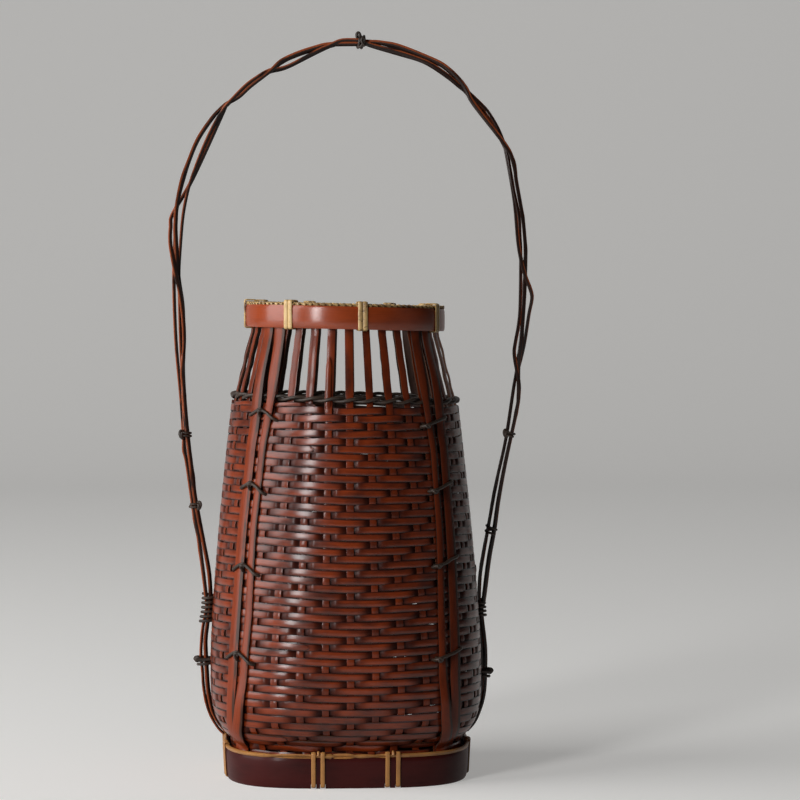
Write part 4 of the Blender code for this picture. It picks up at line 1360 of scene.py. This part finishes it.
# Each branch's way from the left side of the body over the top to the right: shares of the half width,
# shares of the apex height, and depth in millimetres
BRANCH_WAYS = (
    (
        (-0.751, 0.236, -0.9), (-0.754, 0.263, -0.9), (-0.769, 0.291, -0.9), (-0.831, 0.373, -0.9),
        (-0.845, 0.401, -0.9), (-0.882, 0.477, -0.9), (-0.897, 0.531, -0.9), (-0.902, 0.549, -0.9),
        (-0.897, 0.568, -0.9), (-0.895, 0.593, 0.6), (-0.897, 0.620, 0.8), (-0.903, 0.645, 0.8),
        (-0.924, 0.682, -0.6), (-0.937, 0.737, -1.8), (-0.936, 0.757, -1.8), (-0.930, 0.776, -1.8),
        (-0.901, 0.812, -1.6), (-0.863, 0.838, -1.4), (-0.812, 0.868, -1.2), (-0.735, 0.896, -1.0),
        (-0.685, 0.909, -0.8), (-0.657, 0.915, -0.8), (-0.586, 0.925, -1.2), (-0.519, 0.940, -1.2),
        (-0.414, 0.960, -1.6), (-0.359, 0.973, -1.4), (-0.287, 0.982, -1.2), (-0.210, 0.989, -1.0),
        (-0.138, 0.994, -0.8), (-0.072, 0.997, -0.8), (0.094, 0.998, -0.6), (0.149, 1.000, -0.6),
        (0.205, 0.999, -0.8), (0.304, 0.994, -1.0), (0.498, 0.975, -1.0), (0.565, 0.965, -1.0),
        (0.626, 0.951, -1.0), (0.673, 0.936, -1.3), (0.711, 0.917, -1.6), (0.884, 0.862, -1.6),
        (0.927, 0.842, -1.6), (0.943, 0.826, -1.6), (0.950, 0.811, -1.6), (0.984, 0.764, -1.6),
        (0.996, 0.737, -1.6), (1.003, 0.709, -1.2), (0.999, 0.661, -0.6), (0.986, 0.609, -1.0),
        (0.980, 0.586, -1.2), (0.970, 0.568, -1.0), (0.965, 0.551, -0.2), (0.965, 0.517, 0.4),
        (0.956, 0.496, 0.5), (0.896, 0.427, 0.5), (0.855, 0.372, 0.5), (0.831, 0.330, 0.5),
        (0.801, 0.289, 0.5), (0.772, 0.233, 0.5),
    ),
    (
        (-0.772, 0.236, -0.9), (-0.813, 0.318, -0.9), (-0.834, 0.346, -0.9), (-0.877, 0.422, -0.9),
        (-0.894, 0.442, -0.9), (-0.895, 0.460, -0.9), (-0.891, 0.476, 0.0), (-0.898, 0.511, 0.6),
        (-0.912, 0.593, -0.8), (-0.919, 0.667, -1.0), (-0.919, 0.682, 0.0), (-0.917, 0.700, 0.4),
        (-0.899, 0.757, -0.2), (-0.875, 0.791, -0.6), (-0.853, 0.810, -0.8), (-0.811, 0.839, -0.8),
        (-0.762, 0.868, -0.8), (-0.713, 0.892, -0.8), (-0.680, 0.905, -0.8), (-0.657, 0.913, -2.2),
        (-0.552, 0.940, -2.2), (-0.486, 0.952, -2.0), (-0.417, 0.962, 0.6), (-0.320, 0.967, 0.4),
        (-0.149, 0.989, -0.2), (-0.083, 0.996, -1.8), (-0.028, 1.002, -1.8), (0.027, 1.003, -1.8),
        (0.082, 1.002, -1.8), (0.149, 0.996, -1.6), (0.304, 0.986, -1.0), (0.415, 0.977, -0.8),
        (0.487, 0.969, -0.8), (0.576, 0.954, -0.8), (0.631, 0.942, -0.8), (0.670, 0.936, 0.6),
        (0.773, 0.912, 0.0), (0.815, 0.898, 0.0), (0.852, 0.882, 0.0), (0.884, 0.863, 0.8),
        (0.899, 0.851, 0.0), (0.910, 0.838, -0.6), (0.926, 0.811, -0.8), (0.965, 0.764, -0.8),
        (0.972, 0.737, 0.0), (0.977, 0.709, 0.6), (0.975, 0.641, 0.4), (0.965, 0.613, -0.6),
        (0.948, 0.590, -1.0), (0.941, 0.572, -1.2), (0.966, 0.535, -1.6), (0.967, 0.517, -1.4),
        (0.956, 0.496, -1.2), (0.897, 0.427, -1.1), (0.855, 0.372, -1.1), (0.832, 0.330, -1.1),
        (0.801, 0.289, -1.1), (0.773, 0.233, -1.1),
    ),
    (
        (-0.748, 0.235, 0.8), (-0.752, 0.263, 0.8), (-0.766, 0.290, 0.8), (-0.829, 0.373, 0.8),
        (-0.877, 0.476, 0.8), (-0.897, 0.549, 0.8), (-0.891, 0.593, -1.0), (-0.895, 0.620, -1.6),
        (-0.906, 0.645, -2.4), (-0.921, 0.667, -3.0), (-0.936, 0.682, -3.2), (-0.961, 0.716, -2.6),
        (-0.967, 0.733, -1.6), (-0.963, 0.750, -0.4), (-0.954, 0.765, 0.6), (-0.843, 0.813, 1.0),
        (-0.674, 0.904, 0.6), (-0.656, 0.913, -0.8), (-0.547, 0.939, -0.6), (-0.481, 0.951, -0.6),
        (-0.414, 0.960, 2.0), (-0.320, 0.966, 1.8), (-0.149, 0.987, 1.4), (-0.028, 1.000, -0.2),
        (0.028, 1.002, -0.2), (0.083, 1.001, -0.2), (0.150, 0.995, 0.2), (0.305, 0.984, 0.6),
        (0.416, 0.976, 0.8), (0.488, 0.967, 0.8), (0.577, 0.952, 0.8), (0.632, 0.941, 0.8),
        (0.669, 0.934, 2.0), (0.714, 0.920, 1.8), (0.761, 0.908, 1.6), (0.805, 0.893, 1.6),
        (0.847, 0.877, 1.6), (0.884, 0.861, 1.8), (0.898, 0.849, 1.0), (0.942, 0.785, 0.4),
        (0.960, 0.730, -1.6), (0.976, 0.704, -2.8), (1.001, 0.680, -3.2), (1.028, 0.663, -2.6),
        (1.039, 0.650, -1.6), (1.023, 0.628, -0.2), (0.996, 0.585, 0.4), (0.962, 0.551, 0.4),
        (0.943, 0.535, -0.6), (0.893, 0.455, -0.8), (0.843, 0.399, -0.8), (0.821, 0.372, -0.8),
        (0.794, 0.330, -0.8), (0.781, 0.316, -0.8), (0.762, 0.289, -0.8), (0.748, 0.261, -0.8),
        (0.744, 0.233, -0.8),
    ),
    (
        (-0.770, 0.235, 0.8), (-0.811, 0.318, 0.8), (-0.831, 0.346, 0.8), (-0.875, 0.421, 0.8),
        (-0.891, 0.442, 0.8), (-0.909, 0.511, 0.6), (-0.937, 0.593, 0.6), (-0.947, 0.682, 1.6),
        (-0.935, 0.757, 1.8), (-0.927, 0.776, 1.8), (-0.916, 0.791, 1.8), (-0.893, 0.812, 1.8),
        (-0.858, 0.839, 1.6), (-0.807, 0.868, 1.4), (-0.730, 0.896, 1.2), (-0.682, 0.909, 1.0),
        (-0.591, 0.926, 0.6), (-0.525, 0.941, 0.6), (-0.353, 0.971, 0.6), (-0.282, 0.980, 0.8),
        (-0.204, 0.987, 0.8), (-0.138, 0.992, 0.8), (-0.071, 0.995, 0.8), (-0.016, 0.999, 0.8),
        (0.150, 1.001, 0.8), (0.305, 0.991, 0.8), (0.499, 0.973, 0.8), (0.566, 0.963, 0.8),
        (0.627, 0.949, 0.8), (0.676, 0.936, 0.8), (0.724, 0.916, 0.8), (0.808, 0.890, 0.8),
        (0.889, 0.862, 0.8), (0.914, 0.851, 0.8), (0.930, 0.840, 0.8), (0.944, 0.825, 0.8),
        (0.970, 0.785, 0.8), (0.988, 0.764, 0.8), (0.998, 0.737, 1.0), (1.001, 0.709, 1.2),
        (0.990, 0.634, 1.2), (0.972, 0.585, 1.2), (0.922, 0.496, 0.8), (0.895, 0.454, 0.8),
        (0.846, 0.399, 0.8), (0.765, 0.288, 0.8), (0.751, 0.261, 0.8), (0.747, 0.233, 0.8),
    ),
)
# Where the branch ends lie on the body, in millimetres: height, and how far out the outer and the inner
# pair are
LEFT_ENDS = (
    (27, 3.6, 1.6), (31, 3.9, 1.7), (39.5, 4.0, 1.9), (52.6, 4.7, 2.0), (66, 5.4, 2.6), (75.6, 6.3, 3.1),
    (85.4, 6.2, 3.6), (95, 5.6, 2.9), (104, 4.3, 2.0),
)
RIGHT_ENDS = (
    (27, 3.4, 1.4), (33, 3.6, 1.4), (43, 3.3, 1.4), (53, 3.8, 1.6), (66, 3.9, 1.6), (75.6, 3.9, 1.6),
    (85, 3.4, 1.4), (95, 2.6, 0.9), (104, 2.4, 0.9),
)
# For each branch, whether it lies outside on the left and on the right, and its depths there in millimetres
BRANCH_ENDS = ((False, True, -1.5, 1.5), (True, True, -1.6, -1.6), (False, False, 1.5, -1.5),
               (True, False, 1.4, 1.4))
# How far right of the axis the top knot sits, as a share of the handle's reach
APEX_SHARE = 0.09


def branch_lines(form, sizes):
    """Middle lines of the four branches, from the left ends over the top to the right, evenly spaced."""
    per_span, steps = 6, 420
    lines = []
    for way, (left_outer, right_outer, left_depth, right_depth) in zip(BRANCH_WAYS, BRANCH_ENDS):
        sides = []
        for sign, ends, outer, depth in ((-1, LEFT_ENDS, left_outer, left_depth),
                                         (1, RIGHT_ENDS, right_outer, right_depth)):
            side = []
            for height, far, near in ends:
                spot = form.point(sign * pi / 2, height * MM, (far if outer else near) * MM)[0]
                spot.y = depth * MM
                side.append(spot)
            sides.append(side)
        points = sides[0] + [Vector((across * sizes.half_width, depth * MM, rise * sizes.apex_height))
                             for across, rise, depth in way] + sides[1][::-1]
        lines.append(spread_evenly(smooth_line(points, per_span), steps))
    return lines


def handle_line(lines):
    """The handle's middle line and the point of it that lies under the top knot."""
    line = [sum(spots, Vector()) / len(spots) for spots in zip(*lines)]
    top = max(spot.z for spot in line)
    wanted = APEX_SHARE * max(spot.x for spot in line)
    apex = min((index for index, spot in enumerate(line) if spot.z > 0.9 * top),
               key=lambda index: abs(line[index].x - wanted))
    return line, apex


class BASKET_OT_handle(bpy.types.Operator):
    """Twist the handle's four split branches loosely together"""
    bl_idname = "basket.handle"
    bl_label = "Twist the Handle"

    # Each branch's width as a share of the widest
    WIDTH_SHARES = (1.0, 0.78, 0.90, 0.78)

    def execute(self, context):
        form = Form(context.scene.basket_sizes)
        sizes = context.scene.basket_handle
        looks = finishes()
        for branch, line in enumerate(branch_lines(form, sizes)):
            steps = [(second - first).length for first, second in zip(line, line[1:])]
            along = [sum(steps[:index]) for index in range(len(line))]
            outs = []
            for distance in along:
                sway = sin(distance * 19 + branch * 2.1)
                outs.append(Vector((0.55 + 0.35 * sway, -1, -0.35 + 0.2 * sway)).normalized())
            thickness = sizes.branch_thickness * (1.1 if branch % 2 else 0.95)
            face = [spot + out * thickness / 2 for spot, out in zip(line, outs)]
            wide = sizes.branch_width * self.WIDTH_SHARES[branch]
            widths = self.widths(along, wide, random.Random(branch + 21))
            strip = lay_strip(f"branch_{branch + 1}", face, outs, widths, thickness,
                              (looks["branch"], looks["branch_skin"], looks["branch_back"]), crown=0.25,
                              edge=0.25, seed=branch + 100)
            place_piece(strip, "dark_branch", f"handle_branch_{branch + 1}")
        return {"FINISHED"}

    def widths(self, along, wide, rng):
        """Width along one branch, swollen a little at its nodes and tapered at both ends."""
        nodes = [rng.uniform(0, along[-1]) for node in range(6)]
        widths = []
        for distance in along:
            swell = sum(np.exp(-((distance - node) / (3 * MM)) ** 2) for node in nodes)
            sway = 0.07 * sin(distance * 31 + wide * 9000)
            from_end = min(distance, along[-1] - distance)
            taper = min(1, 0.55 + from_end / (60 * MM))
            widths.append(wide * taper * (1 + 0.16 * swell + sway))
        return widths


class BASKET_OT_handle_ties(bpy.types.Operator):
    """Tie the handle at the top and lash its ends to the body"""
    bl_idname = "basket.handle_ties"
    bl_label = "Tie the Handle"

    def execute(self, context):
        form = Form(context.scene.basket_sizes)
        sizes = context.scene.basket_handle
        line, apex = handle_line(branch_lines(form, sizes))
        self.knot(line, apex, sizes)
        for name, sign, ends in (("right", 1, RIGHT_ENDS), ("left", -1, LEFT_ENDS)):
            self.lashing(form, name, sign, ends)
        self.leg_knots(line, apex, sizes)
        return {"FINISHED"}

    def coil(self, middle, ahead, radius, turns, pitch, start=0.0):
        """Points of a strand wound round the handle."""
        outward = Vector((-ahead.z, 0, ahead.x))
        points = []
        per_turn = 14
        count = int(turns * per_turn)
        for index in range(count + 1):
            angle = start + 2 * pi * index / per_turn
            side = (index / count - 0.5) * turns * pitch
            depth = Vector((0, radius * sin(angle), 0))
            points.append(middle + outward * radius * cos(angle) + depth + ahead * side)
        return points

    def knot(self, line, apex, sizes):
        """The tie at the top: two turns, a hitch over them and a loop."""
        rattan_look = finishes()["rattan"]
        middle = line[apex]
        ahead = (line[apex + 2] - line[apex - 2]).normalized()
        outward = Vector((-ahead.z, 0, ahead.x))
        turns = self.coil(middle, ahead, sizes.bundle + 1.2 * MM, 2.3, 2.2 * MM)
        turns = lay_strand("knot", turns, 1.0 * MM, rattan_look)
        hitch = []
        for across, depth, lift in ((-1.3, -2.0, -3.2), (-0.4, -3.0, -3.4), (0.8, -3.6, -2.6),
                                    (1.6, -4.0, -0.6), (2.2, -4.2, 1.4), (1.4, -4.6, 2.8), (0.4, -4.8, 1.0),
                                    (1.4, -5.0, -1.2), (2.8, -4.6, -2.8)):
            hitch.append(middle + ahead * across * MM + Vector((0, depth * MM, 0)) + outward * lift * MM)
        hitch = lay_strand("knot", smooth_line(hitch, 5), 1.0 * MM, rattan_look)
        loop = []
        for across, lift in ((-2.6, 2.4), (-3.0, 4.6), (-2.0, 5.8), (-0.9, 4.8), (-0.4, 2.6)):
            loop.append(middle + ahead * across * MM + outward * lift * MM + Vector((0, -1.6 * MM, 0)))
        loop = lay_strand("knot", smooth_line(loop, 5), 0.9 * MM, rattan_look)
        place_piece(joined("top_knot", [turns, hitch, loop]), "dark_rattan", "handle_knot")

    # For each side: height of the topmost turn, turns and their pitch, in millimetres
    BINDINGS = {
        "left": ((115.5, 6, 3.0), (74.5, 2, 2.4)),
        "right": ((111.0, 4, 2.6), (65.5, 2, 2.4)),
    }

    def lashing(self, form, name, sign, ends):
        """Dark strands round the branch ends, at the top and lower down, with a knob on the lower one."""
        look = finishes()["rattan"]
        heights, outer = list(zip(*ends))[:2]
        strands = []
        per_turn = 12
        for top, turns, pitch in self.BINDINGS[name]:
            points = []
            for index in range(turns * per_turn + 1):
                angle = 2 * pi * index / per_turn
                level = top - pitch * index / per_turn
                far = float(np.interp(level, heights, outer)) + 2.5
                reach = (far - 1.0) / 2 + (far + 1.0) / 2 * cos(angle)
                spot = form.point(sign * pi / 2, level * MM, reach * MM)[0]
                spot.y = 3.9 * MM * sin(angle)
                points.append(spot)
            strands.append(lay_strand("lashing", smooth_line(points, 2), 1.0 * MM, look))
        level = top - 1.2
        far = float(np.interp(level, heights, outer)) + 3.0
        knob = form.point(sign * pi / 2, level * MM, far * MM)[0]
        bump = [knob + Vector((sign * out, depth, rise)) * MM for out, depth, rise in
                ((-2.2, -3.0, 0.4), (-0.4, -2.4, 1.2), (0.8, -0.4, 0.8), (0.4, 1.2, -0.8), (-0.8, 0.2, -1.4),
                 (0.2, -1.8, -1.0), (1.2, -1.6, 0.4), (-1.4, -3.2, -0.4))]
        strands.append(lay_strand("lashing", smooth_line(bump, 5), 1.1 * MM, look))
        bar = [form.point(sign * pi / 2, level * MM, reach * MM)[0] + Vector((0, -3.9 * MM, 0))
               for reach in (-0.6, far / 3, far * 2 / 3, far)]
        strands.append(lay_strand("lashing", smooth_line(bar, 4), 1.0 * MM, look))
        place_piece(joined(f"end_lashing_{name}", strands), "dark_rattan", f"handle_lashing_{name}")

    # Small ties up the legs: height as a share of the apex, side of the basket, side of the bundle and pitch
    LEG_KNOTS = ((0.463, -1, -1, 1.9), (0.366, -1, 1, 1.9), (0.464, 1, -1, 1.9), (0.332, 1, 0, 3.4))

    def leg_knots(self, line, apex, sizes):
        """Small ties that hold the branches together part way up each leg."""
        look = finishes()["rattan"]
        for number, (height_share, side, shift, pitch) in enumerate(self.LEG_KNOTS):
            span = range(4, apex) if side < 0 else range(apex + 1, len(line) - 4)
            height = height_share * sizes.apex_height
            index = min(span, key=lambda index: abs(line[index].z - height))
            ahead = (line[index + 2] - line[index - 2]).normalized()
            coil = self.coil(line[index], ahead, sizes.bundle + 0.9 * MM, 1.6, pitch * MM, start=2.0)
            strands = [lay_strand("knot", coil, 0.8 * MM, look)]
            if shift:
                spot = line[index] + Vector((shift * (sizes.bundle + 0.2 * MM), -2.6 * MM, 0))
                bump = [spot + Vector((shift * out, depth, rise)) * MM for out, depth, rise in
                        ((-1.0, 0.6, 2.2), (0.4, -0.2, 2.4), (0.9, -0.8, 0.6), (0.2, -1.0, -1.4),
                         (-0.8, -0.4, -2.2), (-0.2, -1.2, -0.4), (-0.6, -0.8, 1.4))]
                strands.append(lay_strand("knot", smooth_line(bump, 5), 1.0 * MM, look))
            knot = joined(f"leg_knot_{number + 1}", strands)
            place_piece(knot, "dark_rattan")


class BASKET_OT_water_tube(bpy.types.Operator):
    """Cut the bamboo water tube with its two nodes"""
    bl_idname = "basket.water_tube"
    bl_label = "Cut the Water Tube"

    # Heights of the nodes as shares of the tube's height
    NODE_SHARES = (0.30, 0.72)

    def execute(self, context):
        low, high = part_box("water_tube")
        radius, wall, floor = 31.0 * MM, 4.0 * MM, 5.0 * MM
        tall = high.z - low.z
        bevel = 0.6 * MM
        inner = radius - wall
        profile = [(0.0, low.z + floor), (inner - 2 * MM, low.z + floor), (inner, low.z + floor + 2 * MM),
                   (inner, high.z - bevel), (inner + bevel, high.z), (radius - bevel, high.z),
                   (radius, high.z - bevel)]
        for share in sorted(self.NODE_SHARES, reverse=True):
            node = low.z + tall * share
            profile += [(radius, node + 4.5 * MM), (radius + 0.25 * MM, node + 2.0 * MM),
                        (radius + 0.6 * MM, node + 0.8 * MM), (radius + 0.05 * MM, node),
                        (radius + 0.45 * MM, node - 0.9 * MM), (radius, node - 2.4 * MM)]
        profile += [(radius, low.z + bevel), (radius - bevel, low.z), (0.0, low.z)]
        steps = 72
        tube, column, row = unit_grid("bamboo_tube", steps + 1, len(profile))
        for corner, turn, level in zip(tube.data.vertices, column, row):
            reach, height = profile[level]
            angle = 2 * pi * turn / steps
            corner.co = (reach * cos(angle), reach * sin(angle), height)
        weld(tube, outward=True)
        bpy.ops.object.shade_smooth_by_angle(angle=radians(40))
        tube.data.materials.append(self.finish(context.scene.basket_colours, radius, low.z, tall))
        place_piece(tube, "tube_bamboo", "water_tube", body="water_tube")
        return {"FINISHED"}

    def finish(self, paints, radius, foot, tall):
        """Dried bamboo skin outside, pale wood on the cut rim and inside."""
        finish = Finish("dried_bamboo", 0.42, 0.12, 0.3)
        place = finish.place()
        split = finish.node("ShaderNodeSeparateXYZ", {}, place).socket.node
        x, y, z = (Wire(finish, split.outputs[axis]) for axis in range(3))
        reach = (x * x + y * y) ** 0.5
        outside = reach.between(radius - 0.8 * MM, radius - 0.3 * MM)
        streaks = finish.noise(finish.stretched(place, (420.0, 420.0, 9.0)), 1.0, 3.0)
        blotches = finish.noise(finish.stretched(place, (30.0, 30.0, 14.0)), 1.0, 4.0)
        skin = finish.mix((streaks * 0.5 + blotches * 0.6 - 0.15).limited(),
                          scaled(paints.tube, 0.55), scaled(paints.tube))
        for share in self.NODE_SHARES:
            node = foot + tall * share
            near = (z - node).size()
            skin = finish.mix(1 - near.between(0.6 * MM, 3.0 * MM), skin, scaled(paints.tube, 0.45))
        wood = finish.mix(streaks, scaled(paints.tube_inside, 0.6), scaled(paints.tube_inside))
        finish.paint(finish.mix(outside, wood, skin))
        finish.polish((0.72 - 0.34 * outside + 0.15 * blotches).limited())
        finish.relief(streaks, 0.2, 0.3 * MM)
        return finish.material


class BASKET_PT_panel(bpy.types.Panel):
    """Basket tools"""
    bl_label = "Ikebana Basket"
    bl_idname = "BASKET_PT_panel"
    bl_space_type = "VIEW_3D"
    bl_region_type = "UI"
    bl_category = "Basket"

    def draw(self, context):
        column = self.layout.column(align=True)
        for operator in OPERATORS:
            column.operator(operator.bl_idname)
        for group in ("basket_sizes", "basket_handle", "basket_colours", "basket_stage"):
            box = self.layout.box()
            settings = getattr(context.scene, group)
            for key in settings.bl_rna.properties.keys():
                if key not in ("rna_type", "name"):
                    box.prop(settings, key)


OPERATORS = (
    BASKET_OT_stage, BASKET_OT_floor, BASKET_OT_stakes, BASKET_OT_wefts, BASKET_OT_neck_ring,
    BASKET_OT_ribs, BASKET_OT_rib_ties, BASKET_OT_base_band, BASKET_OT_base_wraps, BASKET_OT_rim,
    BASKET_OT_rim_wraps, BASKET_OT_handle, BASKET_OT_handle_ties, BASKET_OT_water_tube,
)
GROUPS = {
    "basket_sizes": BasketSizes,
    "basket_handle": HandleSizes,
    "basket_colours": BasketColours,
    "basket_stage": StageSettings,
}


def register():
    """Register the settings, the operators and the panel."""
    for name, group in GROUPS.items():
        bpy.utils.register_class(group)
        setattr(bpy.types.Scene, name, PointerProperty(type=group))
    for operator in OPERATORS:
        bpy.utils.register_class(operator)
    bpy.utils.register_class(BASKET_PT_panel)


def unregister():
    """Take everything out again."""
    bpy.utils.unregister_class(BASKET_PT_panel)
    for operator in reversed(OPERATORS):
        bpy.utils.unregister_class(operator)
    for name, group in GROUPS.items():
        delattr(bpy.types.Scene, name)
        bpy.utils.unregister_class(group)


def main():
    """Make every piece in order."""
    register()
    for operator in OPERATORS:
        family, tool = operator.bl_idname.split(".")
        getattr(getattr(bpy.ops, family), tool)()


if __name__ == "__main__":
    main()
